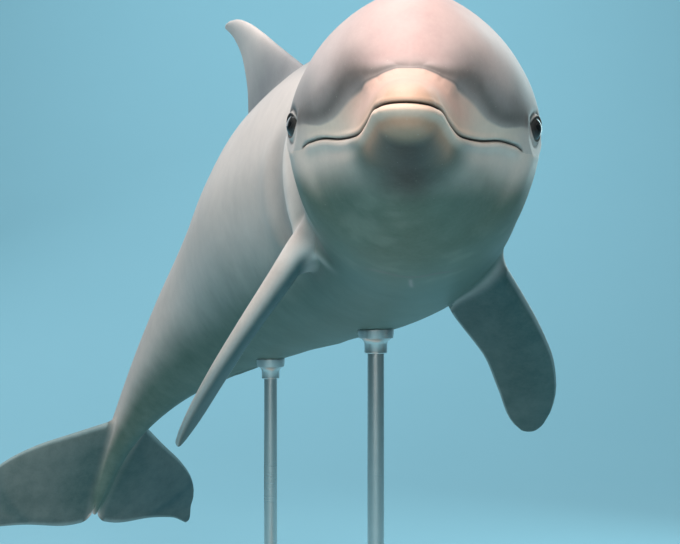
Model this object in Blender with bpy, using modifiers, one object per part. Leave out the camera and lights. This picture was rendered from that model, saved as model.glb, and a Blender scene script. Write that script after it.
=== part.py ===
"""A young bottlenose dolphin at life size, turning its head to the viewer as it swims, on a display stand.

Blender 4.5, metres, +Z up, origin on the floor under the middle of the model.
The dolphin is first described lying straight: x towards its left side, y from the beak tip to the tail, z up.
Its spine is then bent into the swimming pose.
One field of distances gives the flesh of the head and body.
Each piece of flesh is a loft of rings read from that field, parted from the next piece by a thin gap.
"""

import math

import bmesh
import bpy
import numpy as np

# ---------------------------------------------------------------- sizes, in metres
GAP = 0.0004  # clear space between two neighbouring pieces
GAPE = 0.211  # beak tip to the corner of the mouth
JAW_BACK = 0.232  # where the lower jaw piece ends
HEAD_BACK, CHEST_BACK, TRUNK_BACK, STOCK_BACK = 0.40, 0.74, 1.24, 1.985
BEAK_ROUND = 0.030  # length of the blunt end of the jaws
AROUND = 44  # points in a ring of the body

# The trunk at each station: y, half width, height above and depth below the line of the mouth's level,
# then how full the upper and lower halves are, where 2 is an ellipse and less is more like a roof.
STATIONS = (
    (0.020, 0.0235, 0.021, 0.024, 2.25, 2.25),  # tip of the beak
    (0.050, 0.0310, 0.029, 0.034, 2.24, 2.25),
    (0.085, 0.0400, 0.0405, 0.044, 2.34, 2.20),  # crease between beak and melon
    (0.120, 0.0520, 0.0485, 0.060, 2.37, 2.15),
    (0.160, 0.0700, 0.048, 0.080, 2.15, 2.15),
    (0.200, 0.0910, 0.060, 0.100, 2.00, 2.10),
    (0.240, 0.1120, 0.084, 0.117, 1.94, 2.10),  # corner of the mouth
    (0.290, 0.1200, 0.110, 0.131, 1.88, 2.05),  # eye and blowhole
    (0.350, 0.1210, 0.134, 0.142, 1.85, 2.05),
    (0.450, 0.1275, 0.158, 0.157, 1.87, 2.10),  # front of the flipper
    (0.600, 0.1430, 0.182, 0.177, 1.88, 2.15),
    (0.780, 0.1510, 0.200, 0.190, 1.84, 2.12),
    (0.950, 0.1490, 0.203, 0.191, 1.78, 2.06),  # under the dorsal fin, about the navel
    (1.130, 0.1370, 0.190, 0.178, 1.74, 2.02),
    (1.300, 0.1170, 0.164, 0.154, 1.73, 1.98),
    (1.476, 0.0900, 0.129, 0.121, 1.70, 1.85),  # vent
    (1.620, 0.0650, 0.096, 0.090, 1.66, 1.72),
    (1.740, 0.0440, 0.071, 0.066, 1.65, 1.65),  # keeled tail stock
    (1.840, 0.0300, 0.047, 0.044, 1.75, 1.75),  # front of the flukes
    (1.920, 0.0240, 0.028, 0.026, 1.85, 1.85),
    (2.050, 0.0120, 0.009, 0.009, 1.90, 1.90),  # notch of the flukes
)
MOUTH_LEVEL = (
    (0.0, 0.0), (0.03, -0.0010), (0.06, -0.0075), (0.10, -0.0130), (0.14, -0.0115),
    (0.175, -0.0074), (0.198, -0.0082), (0.222, -0.0138), (0.30, -0.009), (0.45, -0.004), (0.8, 0.0),
)

# The melon and braincase: a dome that rises from the crease behind the beak.
MELON_FRONT, MELON_MIDDLE, MELON_BACK = 0.074, 0.270, 0.50
MELON_HALF_WIDTH, MELON_RISE, MELON_FULLNESS = 0.1170, 0.1130, 1.66
MELON_PLAN = 1.02  # about 1, so that the melon is a parabola in front when seen from above
MELON_LEVEL = ((0.074, 0.034), (0.11, 0.046), (0.16, 0.038), (0.27, 0.024), (0.5, 0.02))
MELON_DROP = ((0.08, 0.045), (0.16, 0.065), (0.27, 0.080), (0.5, 0.10))
CREASE_SOFTNESS = ((0.0, 0.005), (0.03, 0.015), (0.06, 0.034), (0.12, 0.036))
NECK_SOFTNESS = ((0.13, 0.0), (0.22, 0.016), (0.34, 0.040))
MELON_EASE = 0.30  # rounds the melon's widest place
RING_EASE = 0.15  # rounds the ridges that the rings would have on the middle line and at the mouth's level

# The eyes: where the lids open, and the ball behind them.
EYE_Y, EYE_Z, EYE_RADIUS, EYE_PROUD = 0.243, 0.0135, 0.0175, 0.0022

# The swimming pose along the spine, in degrees: the tail swings to the right, dips, and twists.
TURN_ASIDE = ((0, -4.5), (0.30, -4.5), (0.55, 9), (0.80, 19), (1.15, 22), (1.50, 38), (1.80, 45), (2.05, 71))
DIP = ((0, 1), (0.30, 1), (0.55, 3), (0.80, 6), (1.15, 17), (1.50, 31), (1.80, 48), (2.05, 78))
ROLL = ((0, -1.3), (0.30, -1.3), (0.70, 9), (1.15, 8), (1.40, 1), (2.05, -27))
BEAK_TIP = (0.051, 0.934, 0.830)  # before the whole model is centred; the floor is at z = 0


def curve_through(*knots):
    """A smooth function through (position, value) knots that never overshoots them."""
    at, value = np.array(knots, float).T
    step, rise = np.diff(at), np.diff(value) / np.diff(at)
    grade = np.empty_like(value)
    grade[0], grade[-1] = rise[0], rise[-1]
    same_way = rise[:-1] * rise[1:] > 0
    before, after = step[:-1] + 2 * step[1:], 2 * step[:-1] + step[1:]
    safe = [np.where(same_way, r, 1.0) for r in (rise[:-1], rise[1:])]
    mean = (before + after) / (before / safe[0] + after / safe[1])
    grade[1:-1] = np.where(same_way, mean, 0.0)

    def read(where):
        where = np.clip(np.asarray(where, float), at[0], at[-1])
        i = np.clip(np.searchsorted(at, where, side="right") - 1, 0, len(step) - 1)
        t = (where - at[i]) / step[i]
        return (
            value[i] * (1 + 2 * t) * (1 - t) ** 2
            + value[i + 1] * (3 - 2 * t) * t**2
            + step[i] * (grade[i] * t * (1 - t) ** 2 - grade[i + 1] * t**2 * (1 - t))
        )

    return read


def column(i):
    return curve_through(*((row[0], row[i]) for row in STATIONS))


half_width, height_above, depth_below, upper_fullness, lower_fullness = (column(i) for i in range(1, 6))
mouth_level = curve_through(*MOUTH_LEVEL)
melon_level = curve_through(*MELON_LEVEL)
melon_drop = curve_through(*MELON_DROP)
crease_softness = curve_through(*CREASE_SOFTNESS)
neck_softness = curve_through(*NECK_SOFTNESS)


# ---------------------------------------------------------------- the flesh as a field
def ring_distance(across, up, wide, tall, power):
    """Distance to a rounded ring, measured along the line from its centre, below zero inside."""
    ease = RING_EASE**power
    full = (1 + RING_EASE**2) ** (power / 2) - ease

    def share(t):
        return ((t**2 + RING_EASE**2) ** (power / 2) - ease) / full

    size = np.maximum(share(across / wide) + share(up / tall), 1e-9) ** (1 / power)
    return np.hypot(across, up) * (1 - 1 / size)


def dome_share(y, power, root=None):
    """The melon's share of its full size at y: nothing at its front edge, all in its middle."""
    reach = np.where(y < MELON_MIDDLE, MELON_MIDDLE - MELON_FRONT, MELON_BACK - MELON_MIDDLE)
    along = np.clip(np.abs(y - MELON_MIDDLE) / reach, 0, 1)
    ease, full = MELON_EASE**power, (1 + MELON_EASE**2) ** (power / 2)
    along = ((along**2 + MELON_EASE**2) ** (power / 2) - ease) / (full - ease)
    return np.clip(1 - along, 0, 1) ** (1 / (power if root is None else root))


def flesh(x, y, z):
    """Distance to the skin of the head and body, about in metres, below zero inside."""
    blunt = np.sqrt(np.clip(1 - (1 - np.clip(y, 0, BEAK_ROUND) / BEAK_ROUND) ** 2, 1e-6, 1))
    up = z - mouth_level(y)
    tall = np.where(up > 0, height_above(y) - mouth_level(y), depth_below(y) + mouth_level(y)) * blunt
    power = lower_fullness(y) + (upper_fullness(y) - lower_fullness(y)) * np.clip(0.5 + up / tall, 0, 1)
    trunk = ring_distance(x, up, half_width(y) * blunt, tall, power)
    over = z - melon_level(y)
    plan = np.where(y < MELON_MIDDLE, MELON_PLAN, 1.75)
    wide = np.maximum(MELON_HALF_WIDTH * dome_share(y, plan, np.where(y < MELON_MIDDLE, 2.0, 1.75)), 1e-4)
    tall = np.where(over > 0, MELON_RISE * dome_share(y, 1.75), melon_drop(y) * dome_share(y, 2.0))
    tall = np.maximum(tall, 1e-4)
    dome = ring_distance(x, over, wide, tall, 2.0 - (2.0 - MELON_FULLNESS) * np.clip(over / tall, 0, 1))
    dome = np.where((y <= MELON_FRONT + 1e-4) | (y >= MELON_BACK - 1e-4), 1.0, dome)
    soft = np.maximum(crease_softness(np.abs(x)), neck_softness(y))
    mix = np.clip(0.5 + 0.5 * (trunk - dome) / soft, 0, 1)
    return trunk + (dome - trunk) * mix - soft * mix * (1 - mix)


def skin_points(y, tilt, turn):
    """Points of the skin on rays that leave the middle line at y.

    tilt is the ray's angle from straight ahead, and turn its angle round the body from the top."""
    y, tilt, turn = np.broadcast_arrays(np.asarray(y, float), tilt, turn)
    way = np.stack([np.sin(tilt) * np.sin(turn), -np.cos(tilt), np.sin(tilt) * np.cos(turn)], -1)
    start = np.stack([np.zeros_like(y), y, mouth_level(y)], -1)
    near, far = np.zeros_like(y), np.full_like(y, 0.4)
    for _ in range(26):
        middle = (near + far) / 2
        p = start + way * middle[..., None]
        within = (flesh(p[..., 0], np.maximum(p[..., 1], 0), p[..., 2]) < 0) & (p[..., 1] > 0)
        near, far = np.where(within, middle, near), np.where(within, far, middle)
    return start + way * near[..., None]


# ---------------------------------------------------------------- the pose
def spine_frames(samples=1100):
    """The posed spine: position along the straight body, then place and the left, back and up directions."""
    s = np.linspace(0, 2.2, samples)
    a, d, r = (np.radians(curve_through(*knots)(s)) for knots in (TURN_ASIDE, DIP, ROLL))
    back = np.stack([-np.sin(a) * np.cos(d), np.cos(a) * np.cos(d), -np.sin(d)], -1)
    level = np.stack([np.cos(a), np.sin(a), 0 * a], -1)
    upright = np.cross(level, back)
    left = level * np.cos(r)[:, None] + upright * np.sin(r)[:, None]
    up = upright * np.cos(r)[:, None] - level * np.sin(r)[:, None]
    place = np.zeros_like(back)
    place[1:] = np.cumsum((back[1:] + back[:-1]) / 2 * np.diff(s)[:, None], 0)
    return s, place + np.array(BEAK_TIP), left, back, up


SPINE = spine_frames()


def posed(points):
    """Points of the straight body carried to the swimming pose."""
    s, place, left, back, up = SPINE
    p = np.asarray(points, float)
    y = np.clip(p[..., 1], 0, s[-1])

    def at(v):
        return np.stack([np.interp(y, s, v[:, k]) for k in range(3)], -1)

    ahead = (p[..., 1] - y)[..., None]
    return at(place) + p[..., :1] * at(left) + p[..., 2:] * at(up) + ahead * at(back)


# ---------------------------------------------------------------- scene helpers
for old in list(bpy.data.objects):
    bpy.data.objects.remove(old, do_unlink=True)

model = bpy.data.collections.new("bottlenose_dolphin_model")
cutters = bpy.data.collections.new("cutters")
cutters.hide_render = True
for group in (model, cutters):
    bpy.context.scene.collection.children.link(group)


def material(name, colour, roughness, metallic=0.0):
    made = bpy.data.materials.new(name)
    made.use_nodes = True
    shader = made.node_tree.nodes["Principled BSDF"]
    shader.inputs["Base Color"].default_value = (*colour, 1)
    shader.inputs["Roughness"].default_value = roughness
    shader.inputs["Metallic"].default_value = metallic
    return made


UPPER_SKIN = material("upper_skin", (0.50, 0.48, 0.46), 0.42)
LOWER_SKIN = material("lower_skin", (0.66, 0.62, 0.58), 0.42)
FIN_SKIN = material("fin_skin", (0.30, 0.33, 0.35), 0.42)
EYE_GLASS = material("eye_glass", (0.03, 0.03, 0.035), 0.08)
STAND_BOARD = material("stand_board", (0.80, 0.79, 0.76), 0.55)
STAND_STEEL = material("stand_steel", (0.60, 0.61, 0.62), 0.32, 1.0)


def finished(name, bm, surface, group=model):
    """An object from a bmesh, in the model or among the cutters."""
    mesh = bpy.data.meshes.new(name)
    bm.to_mesh(mesh)
    bm.free()
    mesh.materials.append(surface)
    made = bpy.data.objects.new(name, mesh)
    group.objects.link(made)
    if group is cutters:
        made.hide_render = True
        made.display_type = "WIRE"
    return made


def loft(name, rings, surface, group=model):
    """A closed solid through rings of points, with flat ends."""
    rings = np.asarray(rings)
    bm = bmesh.new()
    corners = [[bm.verts.new(p) for p in ring] for ring in rings.tolist()]
    bm.faces.new(corners[0])
    bm.faces.new(corners[-1])
    for one, other in zip(corners[:-1], corners[1:]):
        for i in range(len(one)):
            bm.faces.new((one[i - 1], one[i], other[i], other[i - 1]))
    bmesh.ops.recalc_face_normals(bm, faces=bm.faces)
    return finished(name, bm, surface, group)


def cut(piece, cutter, name):
    difference = piece.modifiers.new(name, "BOOLEAN")
    difference.operation = "DIFFERENCE"
    difference.solver = "EXACT"
    difference.object = cutter


# ---------------------------------------------------------------- head and body
TURNS = np.linspace(0, 2 * math.pi, AROUND, endpoint=False)
QUARTER = AROUND // 4
UPPER = (TURNS <= math.pi / 2 + 1e-6) | (TURNS >= 1.5 * math.pi - 1e-6)  # turns at or above the mouth
TIP_TILTS = np.radians([9, 24, 42, 60, 76])


def body_rings(ys, with_tip=False):
    """Rings of the skin at the stations ys, after the rings of the blunt beak tip where it is asked for."""
    rings = [skin_points(BEAK_ROUND, tilt, TURNS) for tilt in TIP_TILTS] if with_tip else []
    return rings + [skin_points(y, math.pi / 2, TURNS) for y in ys]


def above_mouth(ring):
    """The part of a ring above the mouth, closed by a straight line from one lip to the other."""
    ring = ring.copy()
    left, right = ring[QUARTER], ring[3 * QUARTER]
    share = (TURNS[~UPPER] - TURNS[QUARTER]) / math.pi
    ring[~UPPER] = left + (right - left) * share[:, None]
    return ring


def below_mouth(ring):
    """The part of a ring below the mouth, closed in the same way and lowered by the gap."""
    ring = ring.copy()
    left, right = ring[QUARTER], ring[3 * QUARTER]
    upper_turns = np.where(TURNS > math.pi, TURNS - 2 * math.pi, TURNS)[UPPER]
    share = 0.5 + upper_turns / math.pi
    ring[UPPER] = right + (left - right) * share[:, None] - [0, 0, 2 * GAP]
    return ring


mouth_stations = [0.03, 0.05, 0.066, 0.076, 0.082, 0.09, 0.10, 0.115, 0.135, 0.16, 0.19, 0.22]
back_stations = [0.27, 0.30, 0.34, HEAD_BACK - GAP]

skull = [above_mouth(ring) for ring in body_rings([*mouth_stations, JAW_BACK], with_tip=True)]
head = loft("head", posed([*skull, *body_rings([JAW_BACK + GAP, *back_stations])]), UPPER_SKIN)
jaw = [below_mouth(ring) for ring in body_rings([*mouth_stations, JAW_BACK - GAP], with_tip=True)]
loft("lower_jaw", posed(jaw), LOWER_SKIN)

body_stations = [0.30, 0.34, HEAD_BACK - GAP]
for name, front, back, count in (
    ("chest", HEAD_BACK, CHEST_BACK, 7),
    ("trunk", CHEST_BACK, TRUNK_BACK, 9),
    ("tail_stock", TRUNK_BACK, STOCK_BACK, 15),
):
    stations = np.linspace(front + GAP, back - GAP, count)
    loft(name, posed(body_rings(stations)), UPPER_SKIN)
    body_stations += list(stations)


def grown_body(name, by):
    """A cutter: the body behind the eyes, grown outwards by a gap, with the same rings as the pieces."""
    ys = np.array([*body_stations, STOCK_BACK])
    middle = np.stack([0 * ys, ys, mouth_level(ys)], -1)[:, None]
    out = np.array(body_rings(ys)) - middle
    out *= 1 + by / np.linalg.norm(out, axis=-1, keepdims=True)
    return loft(name, posed(middle + out), UPPER_SKIN, cutters)


body_room = grown_body("body_room", 1.5 * GAP)


# ---------------------------------------------------------------- eyes
def surface_at(y, z, side):
    """The skin point at a given y and height, with the direction square to the skin there."""
    turns = np.linspace(0.2, 2.9, 900)
    ring = skin_points(y, math.pi / 2, turns)
    i = int(np.argmin(np.abs(ring[:, 2] - z)))
    x = ring[i, 0]
    step = 1e-4
    steps = ((step, 0, 0), (0, step, 0), (0, 0, step))
    slope = np.array([flesh(x + a, y + b, z + c) - flesh(x - a, y - b, z - c) for a, b, c in steps])
    slope /= np.linalg.norm(slope)
    return np.array([x * side, y, z]), slope * [side, 1, 1]


def ball(name, centre, radius, surface, group=model):
    bm = bmesh.new()
    bmesh.ops.create_uvsphere(bm, u_segments=20, v_segments=12, radius=radius)
    made = finished(name, bm, surface, group)
    made.location = centre
    return made


for side, label in ((1, "left"), (-1, "right")):
    spot, outward = surface_at(EYE_Y, EYE_Z, side)
    centre = posed(spot - outward * (EYE_RADIUS - EYE_PROUD))
    ball(f"eye_{label}", centre, EYE_RADIUS, EYE_GLASS)
    cut(head, ball(f"socket_{label}", centre, EYE_RADIUS + 2 * GAP, EYE_GLASS, cutters), f"socket_{label}")


# ---------------------------------------------------------------- fins
FOIL_STEPS = (0, 0.02, 0.08, 0.18, 0.32, 0.48, 0.64, 0.80, 0.92, 1.0)
EDGE = 0.0007  # half thickness that every fin keeps at its edges


def foil(thickness):
    """Chord shares and half thicknesses round a fin's section, from front edge to back and round again."""
    share = np.array(FOIL_STEPS)
    half = EDGE + thickness / 2 * 2.6 * np.sqrt(share) * (1 - share) * (1 - 0.25 * share)
    half[0], half[-1] = EDGE, EDGE
    return np.concatenate([share, share[::-1]]), np.concatenate([half, -half[::-1]])


def blade(name, spans, front_edge, back_edge, thickness, place, surface):
    """A fin lofted along its span. place turns (span, chord position, thickness position) into the pose."""
    front, back, thick = curve_through(*front_edge), curve_through(*back_edge), curve_through(*thickness)
    rings = []
    for span in spans:
        share, half = foil(float(thick(span)))
        chord = front(span) + (back(span) - front(span)) * share
        rings.append(place(np.full_like(chord, span), chord, half))
    return loft(name, rings, surface)


# Dorsal fin: span is the height over the middle line, chord position is y.
DORSAL_FRONT = (
    (0.16, 0.775), (0.20, 0.838), (0.24, 0.894), (0.28, 0.945),
    (0.32, 0.990), (0.36, 1.036), (0.39, 1.080), (0.402, 1.112),
)
DORSAL_BACK = (
    (0.16, 1.185), (0.20, 1.141), (0.24, 1.107), (0.28, 1.088),
    (0.32, 1.083), (0.36, 1.095), (0.39, 1.115), (0.402, 1.126),
)
DORSAL_THICKNESS = ((0.16, 0.042), (0.20, 0.034), (0.28, 0.023), (0.36, 0.013), (0.402, 0.006))
DORSAL_SPANS = (0.165, 0.20, 0.228, 0.256, 0.284, 0.312, 0.338, 0.362, 0.382, 0.395, 0.402)
dorsal = blade(
    "dorsal_fin", DORSAL_SPANS, DORSAL_FRONT, DORSAL_BACK, DORSAL_THICKNESS,
    lambda span, chord, half: posed(np.stack([half, chord, span], -1)), FIN_SKIN,
)
cut(dorsal, body_room, "seat_on_back")

# Flippers: span is measured along the blade from its root, chord position along the blade's back direction.
FLIPPER_FRONT = (
    (-0.04, 0.0), (0.0, 0.0), (0.07, 0.0017), (0.16, 0.0102),
    (0.225, 0.0294), (0.27, 0.0547), (0.302, 0.0852),
)
FLIPPER_BACK = (
    (-0.04, 0.071), (0.0, 0.0772), (0.055, 0.090), (0.125, 0.088),
    (0.20, 0.0995), (0.27, 0.1116), (0.302, 0.1064),
)
FLIPPER_THICKNESS = ((-0.04, 0.038), (0.0, 0.032), (0.09, 0.023), (0.20, 0.014), (0.302, 0.006))
FLIPPER_SPANS = (-0.03, 0.0, 0.03, 0.06, 0.10, 0.14, 0.18, 0.215, 0.248, 0.275, 0.293, 0.302)
# The front of each root in the straight body, and the ways that the blade and its chord point in the pose.
LEFT_FLIPPER = ((0.106, 0.473, -0.1167), (0.496, 0.598, -0.630), (-0.867, 0.380, -0.322))
RIGHT_FLIPPER = ((-0.137, 0.474, -0.090), (-0.569, 0.154, -0.808), (0.239, 0.971, 0.016))


def flipper(label, root, span_way, chord_way):
    out = np.array(span_way) / np.linalg.norm(span_way)
    aft = np.array(chord_way) - np.dot(chord_way, out) * out
    aft /= np.linalg.norm(aft)
    normal = np.cross(out, aft)

    def place(span, chord, half):
        return posed(root) + span[:, None] * out + chord[:, None] * aft + half[:, None] * normal

    made = blade(
        f"flipper_{label}", FLIPPER_SPANS, FLIPPER_FRONT, FLIPPER_BACK, FLIPPER_THICKNESS, place, FIN_SKIN
    )
    cut(made, body_room, "seat_on_chest")


flipper("left", *LEFT_FLIPPER)
flipper("right", *RIGHT_FLIPPER)

# Flukes: span runs sideways from the middle line, chord position is y.
FLUKE_SPAN = 0.286  # middle line to one tip
FLUKE_RISE = 0.036  # how far each tip bends upwards
FLUKE_FRONT = (
    (0.0, 1.798), (0.037, 1.822), (0.10, 1.867), (0.173, 1.916),
    (0.235, 1.969), (0.272, 2.020), (0.286, 2.063),
)
FLUKE_BACK = (
    (0.0, 2.040), (0.025, 2.061), (0.074, 2.067), (0.148, 2.063),
    (0.222, 2.069), (0.272, 2.087), (0.286, 2.093),
)
FLUKE_THICKNESS = ((0.0, 0.031), (0.05, 0.026), (0.15, 0.015), (0.24, 0.008), (0.286, 0.004))
FLUKE_SPANS = (GAP, 0.022, 0.05, 0.085, 0.12, 0.16, 0.195, 0.225, 0.25, 0.27, 0.281, 0.286)
for side, label in ((1, "left"), (-1, "right")):
    lobe = blade(
        f"fluke_{label}", FLUKE_SPANS, FLUKE_FRONT, FLUKE_BACK, FLUKE_THICKNESS,
        lambda span, chord, half, side=side: posed(
            np.stack([span * side, chord, half + FLUKE_RISE * (span / FLUKE_SPAN) ** 2], -1)
        ),
        FIN_SKIN,
    )
    cut(lobe, body_room, "seat_on_tail")


# ---------------------------------------------------------------- stand
BASE_LENGTH, BASE_WIDTH, BASE_THICKNESS = 1.00, 0.46, 0.040
BASE_CORNER, BASE_EDGE = 0.12, 0.004
ROD_RADIUS = 0.011
ROD_STATIONS = {"front": 0.70, "rear": 1.24}


def rod_top(s):
    """Where a rod meets the belly: the lowest point of the posed skin over the rod's middle."""
    ring = posed(skin_points(s, math.pi / 2, np.linspace(math.pi / 2, 1.5 * math.pi, 200)))
    return ring[np.argmin(ring[:, 2])]


tops = {label: rod_top(s) for label, s in ROD_STATIONS.items()}
line = tops["rear"] - tops["front"]
middle = (tops["front"] + tops["rear"]) / 2

bm = bmesh.new()
bmesh.ops.create_cube(bm, size=1.0)
bmesh.ops.scale(bm, verts=bm.verts, vec=(BASE_LENGTH, BASE_WIDTH, BASE_THICKNESS))
upright = [edge for edge in bm.edges if abs(edge.verts[0].co.z - edge.verts[1].co.z) > BASE_THICKNESS / 2]
bmesh.ops.bevel(bm, geom=upright, offset=BASE_CORNER, segments=9, profile=0.5, affect="EDGES")
base = finished("stand_base", bm, STAND_BOARD)
base.location = (middle[0], middle[1], BASE_THICKNESS / 2)
base.rotation_euler.z = math.atan2(line[1], line[0])
eased = base.modifiers.new("eased_edge", "BEVEL")
eased.width = BASE_EDGE
eased.segments = 2
eased.limit_method = "ANGLE"

for label, top in tops.items():
    foot, head_of_rod = BASE_THICKNESS + GAP, top[2] + 0.03
    bm = bmesh.new()
    bmesh.ops.create_cone(
        bm, cap_ends=True, segments=24, radius1=ROD_RADIUS, radius2=ROD_RADIUS, depth=head_of_rod - foot
    )
    piece = finished(f"stand_rod_{label}", bm, STAND_STEEL)
    piece.location = (top[0], top[1], (foot + head_of_rod) / 2)
    cut(piece, body_room, "seat_under_belly")


# ---------------------------------------------------------------- origin under the middle
bpy.context.view_layer.update()
graph = bpy.context.evaluated_depsgraph_get()
corners = []
for piece in model.objects:
    shape = piece.evaluated_get(graph)
    corners += [(shape.matrix_world @ v.co)[:] for v in shape.data.vertices]
middle = (np.min(corners, 0) + np.max(corners, 0)) / 2
for piece in [*model.objects, *cutters.objects]:
    piece.location.x -= middle[0]
    piece.location.y -= middle[1]
bpy.context.view_layer.update()
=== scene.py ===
import math

import bmesh
import bpy
import numpy as np
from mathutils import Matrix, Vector
from mathutils.bvhtree import BVHTree


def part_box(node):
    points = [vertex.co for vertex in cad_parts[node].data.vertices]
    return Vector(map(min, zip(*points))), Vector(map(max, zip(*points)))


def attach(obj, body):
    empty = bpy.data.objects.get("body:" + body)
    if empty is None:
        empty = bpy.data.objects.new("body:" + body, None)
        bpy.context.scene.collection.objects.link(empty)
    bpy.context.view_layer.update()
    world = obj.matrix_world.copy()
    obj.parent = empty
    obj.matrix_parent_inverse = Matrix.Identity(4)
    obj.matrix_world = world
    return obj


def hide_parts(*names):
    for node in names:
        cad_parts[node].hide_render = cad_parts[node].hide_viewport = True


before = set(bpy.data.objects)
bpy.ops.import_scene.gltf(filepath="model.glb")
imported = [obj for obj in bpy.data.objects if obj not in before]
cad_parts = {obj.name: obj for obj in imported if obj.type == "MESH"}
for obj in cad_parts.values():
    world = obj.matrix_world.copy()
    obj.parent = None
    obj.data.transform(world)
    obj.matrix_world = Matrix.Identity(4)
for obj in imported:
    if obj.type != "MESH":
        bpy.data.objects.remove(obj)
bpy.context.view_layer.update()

# ---------------------------------------------------------------- skin: the straight body
# The dolphin's hide is one unbroken sheet over beak, melon, body, fins and flukes.
# It is laid over a straight body first: x to its left, y from beak tip to tail, z up from the mouth's level.
# A field of distances gives the form: a trunk of rounded rings, and the melon's dome behind the beak.
GAPE = 0.211  # beak tip to the corner of the mouth
BEAK_ROUND = 0.030  # length of the blunt end of the jaws
TAIL_ROUND, TAIL_END = 0.078, 2.048  # the stock thins to nothing between the flukes
NOTHING = 1e-6

# y, half width, height above, depth below, then the fullness of the upper and lower halves (2 is an ellipse)
STATIONS = (
    (0.020, 0.0235, 0.021, 0.024, 2.25, 2.25),  # tip of the beak
    (0.050, 0.0310, 0.029, 0.034, 2.24, 2.25),
    (0.085, 0.0400, 0.0405, 0.044, 2.34, 2.20),  # crease between beak and melon
    (0.120, 0.0520, 0.0485, 0.060, 2.37, 2.15),
    (0.160, 0.0700, 0.048, 0.080, 2.15, 2.15),
    (0.200, 0.0910, 0.060, 0.100, 2.00, 2.10),
    (0.240, 0.1120, 0.084, 0.117, 1.94, 2.10),  # corner of the mouth
    (0.290, 0.1200, 0.110, 0.131, 1.88, 2.05),  # eye and blowhole
    (0.350, 0.1210, 0.134, 0.142, 1.85, 2.05),
    (0.450, 0.1275, 0.158, 0.157, 1.87, 2.10),  # front of the flipper
    (0.600, 0.1430, 0.182, 0.177, 1.88, 2.15),
    (0.780, 0.1510, 0.200, 0.190, 1.84, 2.12),
    (0.950, 0.1490, 0.203, 0.191, 1.78, 2.06),  # under the dorsal fin, about the navel
    (1.130, 0.1370, 0.190, 0.178, 1.74, 2.02),
    (1.300, 0.1170, 0.164, 0.154, 1.73, 1.98),
    (1.476, 0.0900, 0.129, 0.121, 1.70, 1.85),  # vent
    (1.620, 0.0650, 0.096, 0.090, 1.66, 1.72),
    (1.740, 0.0440, 0.071, 0.066, 1.65, 1.65),  # keeled tail stock
    (1.840, 0.0300, 0.047, 0.044, 1.75, 1.75),  # front of the flukes
    (1.920, 0.0240, 0.028, 0.026, 1.85, 1.85),
    (2.050, 0.0120, 0.009, 0.009, 1.90, 1.90),  # notch of the flukes
)
MOUTH_LEVEL = (
    (0.0, 0.0), (0.03, -0.0010), (0.06, -0.0075), (0.10, -0.0130), (0.14, -0.0115),
    (0.175, -0.0074), (0.198, -0.0082), (0.222, -0.0138), (0.30, -0.009), (0.45, -0.004), (0.8, 0.0),
)
MELON_FRONT, MELON_MIDDLE, MELON_BACK = 0.074, 0.270, 0.50
MELON_HALF_WIDTH, MELON_RISE, MELON_FULLNESS = 0.1170, 0.1130, 1.66
MELON_PLAN = 1.02  # about 1, so that the melon is a parabola in front when seen from above
MELON_LEVEL = ((0.074, 0.034), (0.11, 0.046), (0.16, 0.038), (0.27, 0.024), (0.5, 0.02))
MELON_DROP = ((0.08, 0.045), (0.16, 0.065), (0.27, 0.080), (0.5, 0.10))
CREASE_SOFTNESS = ((0.0, 0.005), (0.03, 0.015), (0.06, 0.034), (0.12, 0.036))
NECK_SOFTNESS = ((0.13, 0.0), (0.22, 0.016), (0.34, 0.040))
MELON_EASE = 0.30  # rounds the melon's widest place
RING_EASE = 0.15  # rounds the ridges that the rings would have on the middle line and at the mouth's level


def curve_through(*knots):
    """A smooth function through (position, value) knots that never overshoots them."""
    at, value = np.array(knots, float).T
    step, rise = np.diff(at), np.diff(value) / np.diff(at)
    grade = np.empty_like(value)
    grade[0], grade[-1] = rise[0], rise[-1]
    same_way = rise[:-1] * rise[1:] > 0
    before, after = step[:-1] + 2 * step[1:], 2 * step[:-1] + step[1:]
    safe = [np.where(same_way, r, 1.0) for r in (rise[:-1], rise[1:])]
    mean = (before + after) / (before / safe[0] + after / safe[1])
    grade[1:-1] = np.where(same_way, mean, 0.0)
    where = np.linspace(at[0], at[-1], 4000)
    i = np.clip(np.searchsorted(at, where, side="right") - 1, 0, len(step) - 1)
    t = (where - at[i]) / step[i]
    read = (
        value[i] * (1 + 2 * t) * (1 - t) ** 2
        + value[i + 1] * (3 - 2 * t) * t**2
        + step[i] * (grade[i] * t * (1 - t) ** 2 - grade[i + 1] * t**2 * (1 - t))
    )
    return lambda y: np.interp(y, where, read)


def smooth(t, low, high):
    """0 below low, 1 above high, and an easy way between them."""
    t = np.clip((t - low) / (high - low), 0, 1)
    return t * t * (3 - 2 * t)


def column(i):
    return curve_through(*((row[0], row[i]) for row in STATIONS))


half_width, height_above, depth_below, upper_fullness, lower_fullness = (column(i) for i in range(1, 6))
mouth_level = curve_through(*MOUTH_LEVEL)
melon_level = curve_through(*MELON_LEVEL)
melon_drop = curve_through(*MELON_DROP)
crease_softness = curve_through(*CREASE_SOFTNESS)
neck_softness = curve_through(*NECK_SOFTNESS)


def ring_distance(across, up, wide, tall, power):
    """Distance to a rounded ring, measured along the line from its centre, below zero inside."""
    ease = RING_EASE**power
    full = (1 + RING_EASE**2) ** (power / 2) - ease

    def share(t):
        return ((t**2 + RING_EASE**2) ** (power / 2) - ease) / full

    size = np.maximum(share(across / wide) + share(up / tall), 1e-9) ** (1 / power)
    return np.hypot(across, up) * (1 - 1 / size)


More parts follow.
